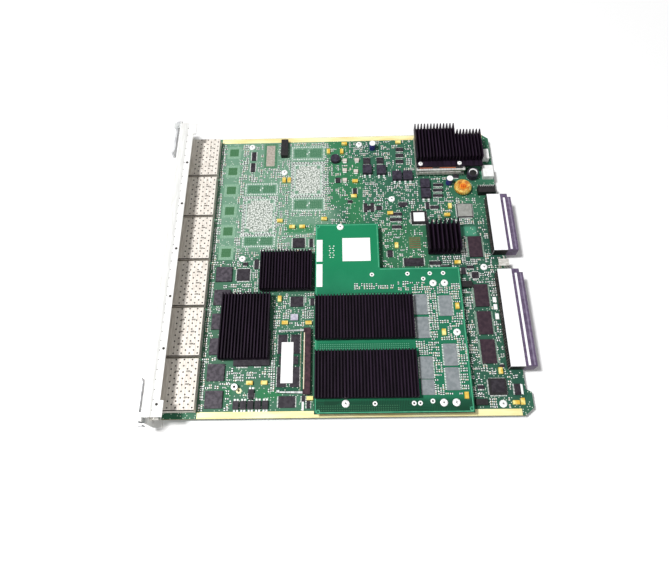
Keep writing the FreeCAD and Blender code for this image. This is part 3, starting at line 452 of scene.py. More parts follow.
# A lilac strip along the moulding's top is a painted highlight, and the solder tails are a dark grey of
# painted shade.
lilac = moulded("painted_highlight_lilac_polymer", "#7C7188", "#8C8298", 0.5)
shaded_tail_tin = moulded("painted_shade_tail_tin", "#3E3A38", "#66615D", 0.5)
PIN_PITCH = 3.0            # mm; real tails are 1.5 mm apart, drawn coarser so that they show
# Painted shade: a thin black sheet with dark grey tail pins over each shell's front face, and another on its
# near end, stand for the shade there; the lilac strip on the moulding's top is a painted highlight.
tails = bmesh.new()
pin_stub = box_die((0, 0, 1.2, 0.9, 0, 0.9, 2))
for use in ("fabric", "bus"):
    low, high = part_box(f"{use}_connector_shell")
    ahead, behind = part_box(f"{use}_connector_housing")
    block(tails, Vector((low.x - 0.2 * MM, low.y + 0.5 * MM, low.z)),
          Vector((low.x, high.y - 0.5 * MM, high.z - 0.5 * MM)), 0)
    start_x, start_y = (low.x - board_low.x) / MM, (low.y - board_low.y) / MM
    for i in range(int((high.y - low.y) / MM / PIN_PITCH) - 1):
        for row in range(3):
            stamp(tails, pin_stub, start_x - 0.7, start_y + 3 + i * PIN_PITCH, 2.0 + 3.4 * row)
    block(tails, Vector((low.x, low.y - 0.15 * MM, low.z)), Vector((high.x, low.y, high.z - 0.6 * MM)), 0)
    block(tails, Vector((behind.x - 3.6 * MM, low.y + 1 * MM, behind.z)),
          Vector((behind.x - 2.0 * MM, high.y - 5.6 * MM, behind.z + 0.05 * MM)), 1)
keep(tails, "connector_tails", "card", "connector_plum", black_nylon, lilac, shaded_tail_tin)

# ------------------------------------------ moulded packages
# Chips in moulded epoxy with a fine matt grain, black, brown or grey by its filler,
# and a round dimple at pin one. Chips with leads stand on rows of bent, tinned legs.
black_epoxy = moulded("moulded_black_epoxy", "#2B272D", "#3B373D")
brown_epoxy = moulded("moulded_brown_epoxy", "#352831", "#42333B")
grey_epoxy = moulded("moulded_grey_epoxy", "#7F8689", "#8F9598", 0.5)
lid_epoxy = moulded("grey_purple_moulded_epoxy", "#3B373E", "#565058")
stone_epoxy = moulded("pale_grey_moulded_epoxy", "#8F908B", "#A0A19C", 0.5)
dress(black_epoxy, "logic_chips", "switch_chips", "processors", "memory_chips", "rom_chips", "filters")
dress(brown_epoxy, "bus_drivers")
dress(grey_epoxy, "daughter_memory")
dress(lid_epoxy, "port_drivers")


def solid_boxes(name):
    """Low and high corners, in board millimetres, of each separate solid of a node."""
    whole = bmesh.new()
    whole.from_mesh(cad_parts[name].data)
    bmesh.ops.remove_doubles(whole, verts=whole.verts, dist=0.001 * MM)
    waiting, found = set(whole.verts), []
    while waiting:
        reached, group = [waiting.pop()], []
        while reached:
            corner = reached.pop()
            group.append((corner.co - on_board(0, 0)) / MM)
            near = {edge.other_vert(corner) for edge in corner.link_edges} & waiting
            waiting -= near
            reached += near
        found.append([[pick(c[i] for c in group) for i in range(3)] for pick in (min, max)])
    whole.free()
    return sorted(found)


# Tin glints nearly white from leg to leg, or pale green where legs are as thin as the gaps.
tin = toned_finish("tinned_copper", "#D8DBD6", "#FFFFFF", 1.2, 0.45, 0.1, Specular_IOR_Level=0.2)
pale_tin = toned_finish("tinned_legs_over_mask", "#86A592", "#B7C9BC", 1.2, 0.4, 0.2)
legs = bmesh.new()


def legs_of(box, reach, pitch, sides, finish=0):
    """Rows of legs along the chosen sides of a chip."""
    (x0, y0, z), (x1, y1, _) = box
    leg = box_die((0, 0, reach, pitch * 0.5, 0, 0.5, finish))
    for i in range(int((y1 - y0 - 1) / pitch) + 1):
        for x in (x0 - reach / 2, x1 + reach / 2):
            if "x" in sides:
                stamp(legs, leg, x, y0 + 0.5 + pitch * (i + 0.5), z)
    for i in range(int((x1 - x0 - 1) / pitch) + 1):
        for y in (y0 - reach / 2, y1 + reach / 2):
            if "y" in sides:
                stamp(legs, leg, x0 + 0.5 + pitch * (i + 0.5), y, z, True)


for box in solid_boxes("bus_drivers"):
    legs_of(box, 2.4, 1.3, "x", 1)
for box in solid_boxes("daughter_memory"):
    legs_of(box, 1.5, 1.7, "x")
for box in solid_boxes("logic_chips"):
    square = abs((box[1][0] - box[0][0]) - (box[1][1] - box[0][1])) < 1.0
    legs_of(box, 1.4, 1.5, "xy" if square else "x")
for box in solid_boxes("rom_sockets"):
    legs_of(box, 1.3, 1.5, "xy")
for box in solid_boxes("memory_chips"):
    if box[1][1] - box[0][1] > 15:
        legs_of(box, 0.8, 1.6, "x")
keep(legs, "chip_legs", "card", "plated_steel", tin, pale_tin)

# Painted shade: the pin-one dimple on each driver is a flat dark disc.
marks = bmesh.new()
for box in solid_boxes("port_drivers") + solid_boxes("bus_drivers"):
    disc(marks, on_board(box[0][0] + 2.0, box[0][1] + 2.0, box[1][2]), 0.8, 0.03, 12, 0)
for box in solid_boxes("logic_chips"):
    if box[1][1] > 256 and box[1][0] > 340 and box[0][1] < 256:
        middle = [(box[0][i] + box[1][i]) / 2 for i in (0, 1)]
        plate(marks, *middle, (17.6, 17.6), box[1][2], 0.15, 1)
keep(marks, "chip_marks", "card", "package_black", painted_recess_shade, stone_epoxy)

# ------------------------------------------------ heat sinks
# Extruded aluminium combs in black anodising with a purple cast; lighter purple streaks
# along the fins are a painted highlight of the light grazing them.
black_anodised = toned_finish("black_anodised_aluminium", "#150C17", "#251828", 1.5, 0.5,
                              grain=(1.0, 0.05, 1.0), Specular_IOR_Level=0.1)
dress(black_anodised, "port_heat_sink", "queue_heat_sink", "bus_heat_sink", "converter_heat_sink",
      "forwarding_heat_sink", "policy_heat_sink")

# -------------------------------------------- daughter board
# Second laminate board in a more saturated green on spacers over the main board,
# held by bright pan-head screws. Grey memories stand at its rear side.
daughter_low, daughter_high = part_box("daughter_board")
laminate("daughter_board", "saturated_green_laminate", "#1F7150", "#2A8560", [
    ((156, 160), (250, 240), "#1E8358", 40.0, 0.9),
    ((150, -20), (350, 17), "#193E2D", 6.0, 0.97),
    ((272, 16), (345, 150), "#2A6B52", 20.0, 0.7),
], 0.18, 0.0)
DAUGHTER = (daughter_high.z - BOARD_TOP) / MM

edge_x, edge_y = ((daughter_low.x - board_low.x) / MM, (daughter_low.y - board_low.y) / MM)
rear_x, far_y = ((daughter_high.x - board_low.x) / MM, (daughter_high.y - board_low.y) / MM)
trim = bmesh.new()
for x, y, size in ((edge_x + 1.4, (edge_y + far_y) / 2, (0.9, far_y - edge_y - 2)),
                   ((edge_x + rear_x) / 2, edge_y + 1.4, (rear_x - edge_x - 2, 0.9)),
                   (rear_x - 1.4, edge_y + 83.7, (0.9, 165.0)), (edge_x + 37.5, far_y - 1.4, (73.0, 0.9)),
                   (edge_x + 74.0, far_y - 30, (0.9, 58.0)), (edge_x + 120.7, edge_y + 166.1, (91.0, 0.9))):
    plate(trim, x, y, size, DAUGHTER, 0.03, 0)
plate(trim, 218.0, 74.9, (100.0, 7.0), DAUGHTER, 0.03, 1)
plate(trim, 235.0, 136.5, (86.0, 4.0), DAUGHTER, 0.03, 1)
plate(trim, 210.0, 7.4, (86.0, 6.6), DAUGHTER, 0.02, 3)
for i in range(6):
    for side in (-1, 1):
        plate(trim, 183.0 + side * (1.5 + i % 2), 184.0 + 3.0 * i, (1.6, 1.0), DAUGHTER, 0.03, 4)
for x, y in ((168.0, 4.0), (166.5, 226.0), (328.0, 5.5)):
    disc(trim, on_board(x, y, DAUGHTER), 2.2, 0.04, 16, 0)
    disc(trim, on_board(x, y, DAUGHTER + 0.02), 1.4, 0.05, 16, 2)
# Mask over bare copper is a light green, over crowded copper a deep one; rows of vias
# under it give regular paler dots, coarser than real.
light_edge = moulded("light_green_mask", "#48A27C", "#5CB28C", 0.4)
deep_green = moulded("deep_green_mask", "#1C5A41", "#236A4D", 0.4)
via_rows = pad_field("via_rows_in_mask", "#1D6A4A", "#5FA585", 0.27, 2.3)
near_vias = pad_field("via_rows_in_dark_mask", "#1B4331", "#37694D", 0.27, 2.4)
# One more memory, two thirds as long as the others, stands at the near end of their front row.
memories = solid_boxes("daughter_memory")
front_row = min(box[0][0] for box in memories) + 8
memory = min((box for box in memories if box[0][0] < front_row), key=lambda box: box[0][1])
memory_size = [memory[1][i] - memory[0][i] for i in range(3)]
plate(trim, memory[0][0] + memory_size[0] / 2, memory[0][1] - 0.8 - memory_size[1] / 3,
      (memory_size[0], memory_size[1] * 2 / 3), DAUGHTER, memory_size[2], 5)
keep(trim, "daughter_trim", "card", "daughter_green",
     light_edge, via_rows, deep_green, near_vias, white_ink, grey_epoxy)

# ---------------------------------------------- blank labels
# Blank labels of coated white paper stuck on the daughter board, a chip and the
# memory module, and the small white terminals near the rear and near edges.
LABEL = 0.08               # mm
labels = bmesh.new()
for x, y, length, width in ((212.2, 194.1, 33.0, 30.7), (168.6, 193.2, 7.0, 28.9), (168.6, 160.8, 7.0, 28.9)):
    plate(labels, x, y, (length, width), DAUGHTER, LABEL)
plate(labels, 290.5, 242.0, (13.4, 12.4), 3.8, LABEL)
plate(labels, 133.2, 59.5, (13.2, 46.2), (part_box("memory_chips")[1].z - BOARD_TOP) / MM, 0.1)
for x, y, length, width in ((385.0, 27.7, 3.6, 10.5), (369.6, 131.6, 4.0, 6.4), (369.6, 122.7, 4.0, 6.4),
                            (370.0, 111.1, 4.0, 7.0), (150.9, 12.7, 2.2, 10.0)):
    plate(labels, x, y, (length, width), 0.0, 1.2)
paper = toned_finish("white_label_paper", "#F3F3F1", "#FFFFFF", 6.0, 0.7)
keep(labels, "blank_labels", "card", "terminal_white", paper)

# ---------------------------------------------------- screws
# Pan-head screws with a cross recess, turned into the spacers, and the plated rings of
# bare screw holes. Bright zinc on a domed head is nearly white from every side.
bright_zinc = toned_finish("bright_zinc_screw", "#F0F0EE", "#FFFFFF", 1.5, 0.4, 0.1)
HEAD = (4.1, 1.9)          # mm; radius and height
BOARD_SCREWS = ((78.0, 355.5), (219.5, 356.5), (75.0, 190.0), (122.0, 314.0), (258.5, 270.5), (362.5, 173.5),
                (364.0, 12.5))
DAUGHTER_SCREWS = ((193.5, 224.5), (197.0, 12.0), (299.5, 12.0), (312.5, 12.0), (320.5, 89.0), (299.0, 148.5),
                   (312.0, 148.5))


def pan_head(shape, centre, radius, height):
    """Screw head: a disc with a domed top and a cross recess."""
    stations = ((radius, 0.0), (radius, 0.45), (0.86 * radius, 0.8), (0.5 * radius, 1.0))
    rings = []
    for reach, share in stations:
        place = Matrix.Translation(centre + Vector((0, 0, share * height * MM)))
        rings.append(bmesh.ops.create_circle(shape, segments=20, radius=reach * MM, matrix=place)["verts"])
    head = []
    for low_ring, high_ring in zip(rings, rings[1:]):
        edges = [edge for ring in (low_ring, high_ring) for edge in {e for v in ring for e in v.link_edges}
                 if all(v in ring for v in edge.verts)]
        head += bmesh.ops.bridge_loops(shape, edges=list(set(edges)))["faces"]
    for ring in (rings[0], rings[-1]):
        head += bmesh.ops.contextual_create(shape, geom=ring)["faces"]
    bmesh.ops.recalc_face_normals(shape, faces=head)
    for face in head:
        face.material_index = 0
    for turn in (0.4, 0.4 + math.pi / 2):
        place = (Matrix.Translation(centre + Vector((0, 0, height * MM))) @ Matrix.Rotation(turn, 4, "Z")
                 @ Matrix.Diagonal((radius * 0.7 * MM, radius * 0.14 * MM, 0.06 * MM, 1.0)))
        number_faces(bmesh.ops.create_cube(shape, size=1.0, matrix=place)["verts"], 1)


# Painted shade: the cross recesses, and the holes in the plated rings, the spacer and the gilt pad, are flat
# dark marks.
screws = bmesh.new()
for x, y in BOARD_SCREWS:
    pan_head(screws, on_board(x, y), *HEAD)
for x, y in DAUGHTER_SCREWS:
    pan_head(screws, on_board(x, y, DAUGHTER), *HEAD)
ledge = (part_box("power_converter")[1].z - BOARD_TOP) / MM + 2.4
for x in (296.0, 345.0):
    pan_head(screws, on_board(x, 312.4, ledge), 2.9, 1.6)
for x, y in ((288.1, 13.8), (288.2, 154.5), (270.5, 161.2), (296.2, 161.2), (311.6, 161.3), (229.4, 160.8),
             (227.6, 11.8), (268.5, 11.8), (275.0, 11.8)):
    disc(screws, on_board(x, y, DAUGHTER), 2.5, 0.1, 16, 0)
    disc(screws, on_board(x, y, DAUGHTER + 0.02), 1.1, 0.12, 12, 1)
disc(screws, on_board(76.6, 33.2, 0), 3.6, 5.0, 16, 0)
disc(screws, on_board(76.6, 33.2, 5.0), 1.5, 0.1, 12, 1)
disc(screws, on_board(81.0, 29.9, 0), 3.0, 0.3, 16, 2)
disc(screws, on_board(81.0, 29.9, 0.3), 1.3, 0.1, 12, 1)
keep(screws, "board_screws", "card", "screw_nickel", bright_zinc, painted_recess_shade, gold)

# --------------------------------------------- memory module
# Small module of green laminate, held flat in its socket by two sprung steel latches,
# which are a plain grey. Its gilt contacts look dull beside the socket's cream rib.
laminate("memory_module", "memory_module_laminate", "#1F4A38", "#336850", [], 0.2, 0.3)
latch_steel = sheet_metal("plain_spring_steel", "#7E8080", "#A9ABAA", 0.4)
dress(latch_steel, "memory_latch_near", "memory_latch_far")
module_low, module_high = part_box("memory_module")
contacts = bmesh.new()
module_top = (module_high.z - BOARD_TOP) / MM
bar_low, bar_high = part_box("memory_socket")
bar_top = (bar_high.z - BOARD_TOP) / MM
edge_pad = box_die((0, 0, 1.3, 0.9, 0, 0.04, 0))
CONTACT_PITCH = 1.68       # mm; coarser than real, so that it shows
for i in range(40):
    stamp(contacts, edge_pad, 147.9, 29.0 + i * CONTACT_PITCH, module_top)
plate(contacts, (bar_low.x - board_low.x) / MM + 0.9, 61.8, (1.0, 64.0), bar_top, 0.1, 1)
cream = moulded("cream_nylon_rib", "#E8DDBD", "#F4ECD2", 0.5)
edge_gold = moulded("dull_gilt_contacts", "#8E8B72", "#ADAA92", 0.5)
keep(contacts, "module_contacts", "card", "screw_nickel", edge_gold, cream)

# ------------------------------------------- power converter
# Half-brick converter under its own sink, with coils, capacitors and terminals. Its
# milled base plate is a streaky bright metal beside dark ferrite and white nylon.
aluminium = sheet_metal("milled_aluminium_plate", "#C9C8C4", "#E6E5E1", 0.35)
dress(aluminium, "power_converter")
ferrite = moulded("moulded_ferrite", "#2D2934", "#403B48", 0.5)
dress(ferrite, "inductors", "round_chokes")
white_nylon = toned_finish("moulded_white_nylon", "#EAEAE8", "#FAFAF8", 5.0, 0.45)
dress(white_nylon, "power_terminals")
# Yellow epoxy varies from ochre to straw from one moulded capacitor to the next.
tantalum = toned_finish("moulded_yellow_epoxy", "#DDB648", "#F3E895", 7.0, 0.45,
                        edges=(0.42, 0.58), Specular_IOR_Level=0.2)
dress(tantalum, "moulded_capacitors")
# The glossy indigo sleeve of a can ends short of its top, where the bare lid is white.
sleeve, tree, shader, where = start_finish("indigo_shrink_sleeve", "#2F2878", 0.32)
can_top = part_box("electrolytic_capacitors")[1].z
height = add_node(tree, "SeparateXYZ", (where,), "Z")
on_lid = add_node(tree, "Math", (height, can_top - 0.4 * MM), operation="GREATER_THAN")
indigo = two_tones(tree, where, "#28226A", "#3A3290", 3.0)
tree.links.new(add_node(tree, "MixRGB", (on_lid, indigo, linear("#F5F5F5"))), shader.inputs["Base Color"])
dress(sleeve, "electrolytic_capacitors")

# ---------------------------------------------- toroid choke
# Enamelled copper wire wound in one layer on a coated ferrite ring. The enamel turns
# the copper to gold and straw, and the coating is a mottled orange brown.
copper_wire = toned_finish("enamelled_copper_wire", "#D9A63C", "#E6E07E", 3.0, 0.4, 0.1, edges=(0.45, 0.55))
ferrite_ring = toned_finish("coated_ferrite_ring", "#B56A1E", "#E7B552", 4.0, 0.5)
dress(ferrite_ring, "toroid_choke")
ring_low, ring_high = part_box("toroid_choke")
ring_middle = (ring_low + ring_high) / 2
ring_outer = (ring_high.x - ring_low.x) / 2 + 0.8 * MM
ring_inner = 4.0 * MM
ring_half = (ring_high.z - ring_low.z) / 2
WIRE = 0.55 * MM           # radius
TURNS = 30
middle = Vector(((ring_outer + ring_inner) / 2, 0, 0))
squash = (ring_half - WIRE) / ((ring_outer - ring_inner) / 2 - WIRE)
winding = bmesh.new()
for turn in range(TURNS):
    start = Matrix.Translation((ring_outer - WIRE, 0, 0))
    loop = bmesh.ops.create_circle(winding, segments=8, radius=WIRE, matrix=start)["verts"]
    rim = [edge for edge in winding.edges if edge.verts[0] in loop and edge.verts[1] in loop]
    bmesh.ops.spin(winding, geom=loop + rim, cent=middle, axis=(0, 1, 0), angle=2 * math.pi,
                   steps=14, use_merge=True)
    fresh = [v for v in winding.verts if not v.tag]
    bmesh.ops.scale(winding, vec=(1.0, 1.0, squash), verts=fresh)
    turned = Matrix.Rotation(2 * math.pi * turn / TURNS, 3, "Z")
    bmesh.ops.rotate(winding, cent=(0, 0, 0), matrix=turned, verts=fresh)
    for v in winding.verts:
        v.tag = True
bmesh.ops.translate(winding, vec=ring_middle, verts=winding.verts)
bmesh.ops.recalc_face_normals(winding, faces=winding.faces)
toroid = keep(winding, "toroid_winding", "card", "coil_orange", copper_wire)
for face in toroid.data.polygons:
    face.use_smooth = True

# ------------------------------------------------ power trim
# Trim of the power parts: copper straps on the converter, feet of the inductors, the
# potting in the toroid, the rim of the dark choke and the pins of the black header.
power_trim = bmesh.new()
plate_top = (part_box("power_converter")[1].z - BOARD_TOP) / MM
plate(power_trim, 321.0, 307.7, (57.0, 1.9), plate_top, 0.05, 1)
for x, length in ((303.0, 16.0), (330.0, 20.0)):
    plate(power_trim, x, 307.7, (length, 0.9), plate_top + 0.05, 0.05, 2)
for (x0, y0, _), (x1, y1, _) in solid_boxes("inductors"):
    for x in (x0 + 2.6, x1 - 2.6):
        plate(power_trim, x, y0 - 1.1, (2.4, 2.2), 0.0, 0.7, 0)
        plate(power_trim, x, y0 - 3.6, (2.6, 1.1), 0.0, 0.5, 0)
hub = ring_middle - on_board(0, 0)
disc(power_trim, on_board(hub.x / MM, hub.y / MM, 0), 4.3, 6.8, 20, 3)
for i in range(3):
    plate(power_trim, hub.x / MM - 2.2 + 2.2 * i, hub.y / MM, (0.9, 5.4 - abs(i - 1)), 6.8, 0.5, 4)
choke = max(solid_boxes("round_chokes"), key=lambda box: box[0][0])
choke_x, choke_y = ((choke[0][i] + choke[1][i]) / 2 for i in (0, 1))
disc(power_trim, on_board(choke_x, choke_y, choke[1][2]), 5.3, 0.06, 24, 0)
disc(power_trim, on_board(choke_x - 0.4, choke_y - 1.3, choke[1][2] + 0.06), 4.6, 0.06, 24, 1)
header = max(solid_boxes("headers"), key=lambda box: box[1][0])
for i in range(7):
    plate(power_trim, header[0][0] + 3.0 + 2.54 * i, header[1][1] - 1.6, (0.9, 0.9), header[1][2], 2.4, 0)
# Bare copper, potting and varnish are three reds: a brown one, an orange and a scarlet.
copper_strap = moulded("bare_copper_strap", "#B5552A", "#CF7040", 0.35)
hub_orange = moulded("orange_potting", "#D9791F", "#EE9A35", 0.5)
red_varnish = moulded("red_varnish", "#B8341C", "#CC4A28", 0.45)
keep(power_trim, "power_trim", "card", "terminal_white",
     tin, black_nylon, copper_strap, hub_orange, red_varnish)

# --------------------------------------- small outline chips
# Small chips: a dark body between two rows of bright legs, with white ceramic parts
# and the feet of the filters. Each notes the places that it takes on the board.
# Fired white ceramic has a pink cast, and a tinned can is tinted lilac as a painted reflection of the room.
blush_white = moulded("pinkish_white_ceramic", "#C9BCB4", "#DDD2CB", 0.5)
silver_can = moulded("lilac_tinned_can", "#A9A6B8", "#CFCCD8", 0.35)


def cells(low_x, low_y, high_x, high_y, margin=0.9):
    """Whole-millimetre places that a rectangle covers."""
    return {(i, j) for i in range(int(low_x - margin), int(high_x + margin) + 1)
            for j in range(int(low_y - margin), int(high_y + margin) + 1)}


def spot_of(x, y, length, width):
    """Places under a part, by its middle and size."""
    return cells(x - length / 2, y - width / 2, x + length / 2, y + width / 2, 0)


taken, taken_above = set(), set()
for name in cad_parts:
    if name in ("main_board", "carrier_tray", "tray_standoffs", "faceplate", "top_gasket", "daughter_board"):
        continue
    for low, high in solid_boxes(name):
        if low[2] < DAUGHTER - 1:
            taken |= cells(low[0], low[1], high[0], high[1])
        if low[2] > DAUGHTER - 1:
            taken_above |= cells(low[0], low[1], high[0], high[1])
for x, y, length, width in EMPTY_ARRAYS:
    taken |= spot_of(x, y, length + 11.4, width + 11.4)
for x, y, length, width in EMPTY_MEMORIES:
    taken |= spot_of(x, y, length + 1.5, int(width))
for y in DRIVER_ROWS:
    taken |= spot_of(DRIVER_X, y, *DRIVER_SIZE)
for place in ((102.9, 341.5, 17, 39), (283.4, 208.0, 15, 18), (348.5, 222.5, 19, 11), (200, 369, 400, 8),
              (200, 3, 400, 9), (76.6, 33.2, 8, 8), (81, 29.9, 7, 7), (370, 121, 5, 28), (386, 27, 6, 12)):
    taken |= spot_of(*place)
for x, y in BOARD_SCREWS:
    taken |= spot_of(x, y, 8, 8)
for x, y in DAUGHTER_SCREWS + ((212.2, 194.1), (288.2, 154.5), (270.5, 161.2), (229.4, 160.8)):
    taken_above |= spot_of(x, y, 8, 8)

LEG_PITCH = 1.6            # mm
small_chips = bmesh.new()
leg = box_die((0, 0, 1.5, 0.75, 0, 0.5, 1))
for x, y, length, width in (
        (225.2, 258.3, 4.2, 12.5), (233.6, 258.9, 4.2, 12.5), (272.1, 262.7, 11.5, 4.6),
        (311.2, 257.1, 11.0, 4.2), (262.6, 248.2, 15.0, 4.0), (262.2, 240.5, 15.0, 4.0),
        (318.3, 290.2, 12.5, 3.6), (317.6, 282.2, 12.5, 3.6), (317.0, 274.2, 12.5, 3.6),
        (302.5, 259.6, 4.2, 10.0), (191.2, 300.3, 6.0, 7.5), (206.0, 267.8, 6.0, 3.6),
        (262.7, 229.9, 12.0, 4.0), (252.7, 193.3, 6.0, 9.0), (305.9, 179.8, 14.0, 4.6),
        (318.0, 174.2, 11.0, 4.6), (337.9, 169.0, 5.0, 9.0), (346.3, 173.7, 8.0, 3.6),
        (342.3, 30.4, 7.0, 4.0), (368.1, 53.6, 5.0, 3.0), (228.8, 329.5, 9.0, 9.0),
        (246.1, 329.5, 9.0, 9.0), (272.3, 346.6, 10.0, 5.0), (271.8, 337.1, 10.0, 5.0),
        (271.3, 327.4, 10.0, 5.0), (79.1, 182.7, 6.0, 4.0), (92.5, 182.4, 5.0, 12.5),
        (159.8, 132.4, 4.2, 9.0), (157.6, 209.8, 4.2, 11.5), (94.8, 24.6, 5.5, 7.5),
        (151.5, 20.5, 3.6, 7.0), (156.8, 14.1, 3.6, 8.5), (82.9, 58.6, 13.0, 4.6),
        (100.1, 58.6, 8.0, 4.2), (212.5, 283.5, 5.0, 8.0), (342.0, 302.5, 7.0, 4.2)):
    plate(small_chips, x, y, (length, width), 0.1, 1.4, 0)
    upright = width > length
    for i in range(int(max(length, width) / LEG_PITCH)):
        offset = LEG_PITCH * (i + 0.5) - max(length, width) / 2
        for side in (-1, 1):
            if upright:
                stamp(small_chips, leg, x + side * (length / 2 + 0.6), y + offset, 0)
            else:
                stamp(small_chips, leg, x + offset, y + side * (width / 2 + 0.6), 0, True)
    taken |= spot_of(x, y, length + 2, width + 2)
for x, y in ((200.2, 330.5), (215.9, 331.0), (200.0, 315.4), (214.4, 313.3), (199.8, 300.1)):
    plate(small_chips, x, y, (5.6, 4.6), 0, 2.6, 2)
    for side in (-1, 1):
        plate(small_chips, x, y + side * 2.9, (4.4, 1.2), 0, 0.8, 1)
    taken |= spot_of(x, y, 8, 8)
for low, high in solid_boxes("filters"):
    for side_y in (low[1] - 1.5, high[1] + 1.5):
        for offset in (-1.6, 1.6):
            plate(small_chips, (low[0] + high[0]) / 2 + offset, side_y, (2.0, 2.2), 0, 0.5, 1)
    taken |= cells(low[0] - 1, low[1] - 3, high[0] + 1, high[1] + 3, 0)
plate(small_chips, 139.6, 113.5, (8.5, 7.5), 0, 2.4, 3)
taken |= spot_of(140, 113.5, 12, 11)
keep(small_chips, "small_outline_chips", "card", "package_black", black_epoxy, tin, blush_white, silver_can)

# ------------------------------------------ small chip parts
# Hundreds of ceramic capacitors and chip resistors, each a body with tinned ends,
# set in streets round the chips. They are placed where no larger part stands.
# Fired ceramic is a matt tan; the resistors' glass film is the soft black from above.
capacitor_tan = moulded("fired_tan_ceramic", "#8E7A5E", "#A8936F", 0.5)


def chip_part(width, body):
    """Die of one part: a body between its two tinned ends."""
    ends = [(side * 1.1, 0, 0.95, width, 0, 0.85, 2) for side in (-1, 1)]
    return box_die((0, 0, 1.3, width, 0, 0.8, body), *ends)


def populate(name, zones, z, blocked):
    """Streets of chip parts: each small block of a zone has its own direction and density."""
    shape = bmesh.new()
    for x0, y0, x1, y1, share in zones:
        for left in range(int(x0), int(x1), 14):
            for bottom in range(int(y0), int(y1), 12):
                along_y, thin = draw.random() < 0.5, share * draw.uniform(0.45, 1.5)
                step_x, step_y = (2.7, 3.8) if along_y else (3.8, 2.7)
                right, top = min(left + 14, x1), min(bottom + 12, y1)
                for i in range(int((right - left) / step_x)):
                    for j in range(int((top - bottom) / step_y)):
                        x = left + (i + draw.uniform(0.4, 0.6)) * step_x
                        y = bottom + (j + draw.uniform(0.4, 0.6)) * step_y
                        reach = (0.7, 1.4) if along_y else (1.4, 0.7)
                        spot = cells(x - reach[0], y - reach[1], x + reach[0], y + reach[1], 0)
                        if draw.random() > thin or spot & blocked:
                            continue
                        blocked |= spot
                        stamp(shape, draw.choice(parts), x, y, z, along_y)
    keep(shape, name, "card", "package_grey", capacitor_tan, resistor_black, tin)


parts = [chip_part(width, body) for width, body in ((1.5, 1), (1.8, 1), (1.3, 1), (1.5, 0))]
# Zones in board millimetres: from x and y, to x and y, and the share of places filled.
populate("front_parts", [
    (70, 221, 117, 280, 1.6), (130, 275, 176, 332, 1.6), (38, 8, 46, 362, 1.1), (63, 8, 74, 196, 0.7),
    (63, 196, 76, 362, 1.0), (76, 300, 96, 362, 0.6), (74, 280, 128, 300, 0.9), (110, 222, 131, 336, 0.8),
    (111, 300, 130, 362, 0.35), (174, 256, 182, 362, 0.9), (74, 200, 128, 224, 0.9),
    (128, 356, 182, 362, 1.2), (128, 248, 176, 256, 1.2), (130, 224, 164, 236, 0.3),
    (76, 306, 128, 322, 0.9)], 0.0, taken)
populate("middle_parts", [
    (63, 140, 100, 200, 0.75), (96, 194, 164, 224, 0.75), (112, 100, 164, 144, 0.85),
    (112, 28, 121, 100, 1.1), (74, 40, 116, 64, 0.8), (60, 36, 76, 64, 0.6), (64, 18, 130, 34, 0.25),
    (40, 8, 64, 196, 0.55)], 0.0, taken)
populate("far_rear_parts", [
    (182, 232, 206, 362, 0.35), (206, 320, 262, 362, 0.45), (206, 292, 262, 320, 0.3),
    (222, 262, 262, 292, 0.45), (262, 262, 296, 362, 0.55), (296, 262, 345, 302, 0.65),
    (222, 232, 300, 262, 0.65), (244, 170, 300, 232, 0.3), (296, 236, 335, 262, 0.75),
    (345, 262, 366, 276, 0.7)], 0.0, taken)
populate("rear_parts", [
    (332, 20, 346, 240, 0.8), (362, 40, 374, 240, 0.6), (334, 150, 374, 190, 0.8),
    (336, 8, 384, 60, 0.55), (332, 232, 372, 242, 0.9), (300, 160, 336, 190, 0.8),
    (372, 160, 390, 190, 0.8)], 0.0, taken)
populate("daughter_parts", [
    (274, 20, 332, 148, 1.2), (208, 142, 254, 150, 1.3), (258, 140, 292, 152, 0.5)], DAUGHTER, taken_above)

# ----------------------------------------------------- light
# Plain studio: a pale matt floor, an even sky, a soft key lamp over the faceplate side
# and a weak, wide fill from the near side.
floor_shape = bmesh.new()
bmesh.ops.create_grid(floor_shape, x_segments=1, y_segments=1, size=6.0)
floor_mesh = bpy.data.meshes.new("studio_floor")
floor_shape.to_mesh(floor_mesh)
floor_shape.free()
floor = new_object("studio_floor", floor_mesh)
floor_white, tree, shader, where = start_finish("matt_white_floor", "#FCFCFC", 0.9)
floor_mesh.materials.append(floor_white)
FADE = (0.4, 1.0)          # metres from the card, over which the floor turns to white background
SKY_LIGHT = 0.23           # strength of the sky on the card; the sky that is seen has 1


def seen_directly(tree):
    """1 for rays of the camera, of reflections and of clear parts, and 0 for the rest."""
    rays = add_node(tree, "LightPath").node.outputs
    beyond = (rays["Is Glossy Ray"], rays["Is Transmission Ray"])
    mirrored = add_node(tree, "Math", beyond, operation="MAXIMUM")
    return add_node(tree, "Math", (rays["Is Camera Ray"], mirrored), operation="MAXIMUM")


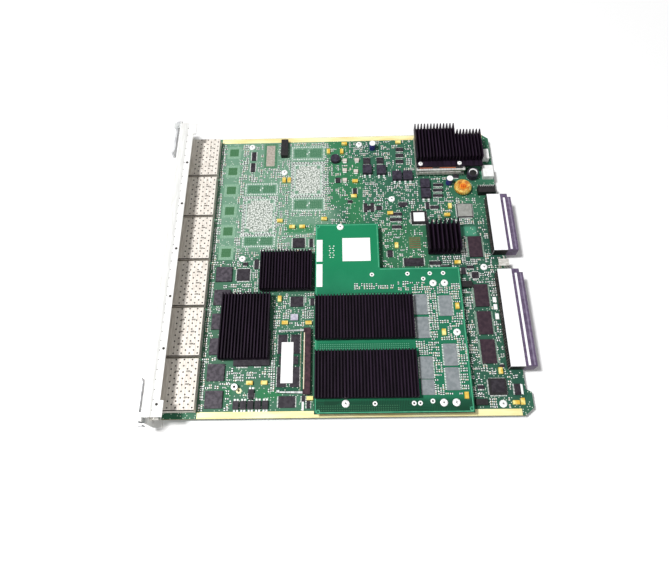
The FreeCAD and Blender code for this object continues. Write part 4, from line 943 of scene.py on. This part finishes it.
reach = add_node(tree, "VectorMath", (where,), "Value", operation="LENGTH")
away = add_node(tree, "MapRange", (reach, *FADE))
share = add_node(tree, "Math", (away, seen_directly(tree)), operation="MULTIPLY")
white = add_node(tree, "Emission", {"Color": (1.0, 1.0, 1.0, 1.0), "Strength": 1.0})
faded = add_node(tree, "MixShader", (share, shader.outputs["BSDF"], white))
tree.links.new(faded, tree.nodes["Material Output"].inputs["Surface"])

world = bpy.data.worlds.new("studio_sky")
bpy.context.scene.world = world
world.use_nodes = True
sky = world.node_tree
background = sky.nodes["Background"]
background.inputs["Color"].default_value = (1.0, 1.0, 1.0, 1.0)
strength = (seen_directly(sky), 1.0 - SKY_LIGHT, SKY_LIGHT)
sky.links.new(add_node(sky, "Math", strength, operation="MULTIPLY_ADD"), background.inputs["Strength"])

for name, size, energy, place in (("key_lamp", 0.55, 118.0, (-1.45, -0.15, 3.2)),
                                  ("fill_lamp", 1.2, 8.0, (0.3, -1.6, 1.6))):
    lamp_data = bpy.data.lights.new(name, "AREA")
    lamp_data.shape = "DISK"
    lamp_data.size = size
    lamp_data.energy = energy
    lamp = new_object(name, lamp_data)
    lamp.location = place
    lamp.rotation_mode = "QUATERNION"
    lamp.rotation_quaternion = (Vector((0, 0, 0.01)) - lamp.location).to_track_quat("-Z", "Y")

# ---------------------------------------------------- camera
# Hand-held view from over the near edge, looking steeply down at the board, a little
# turned and tilted. Its place is in metres from the middle of the card's foot.
camera_data = bpy.data.cameras.new("camera")
camera_data.sensor_fit = "HORIZONTAL"
camera_data.sensor_width = 36.0
camera_data.lens = 29.4
camera_data.clip_start = 0.01
camera_data.clip_end = 20.0
camera = new_object("camera", camera_data)
EYE = (0.0091, -0.2919, 0.5959)
swing, tilt, roll = math.radians(-3.05), math.radians(65.74), math.radians(-3.74)
ahead = Vector((math.sin(swing) * math.cos(tilt), math.cos(swing) * math.cos(tilt), -math.sin(tilt)))
level = Vector((math.cos(swing), -math.sin(swing), 0))
upward = level.cross(ahead)
right = level * math.cos(roll) + upward * math.sin(roll)
up = upward * math.cos(roll) - level * math.sin(roll)
turn = Matrix((right, up, -ahead)).transposed()
camera.matrix_world = Matrix.Translation(EYE) @ turn.to_4x4()
bpy.context.scene.camera = camera
bpy.context.scene.view_settings.view_transform = "Standard"
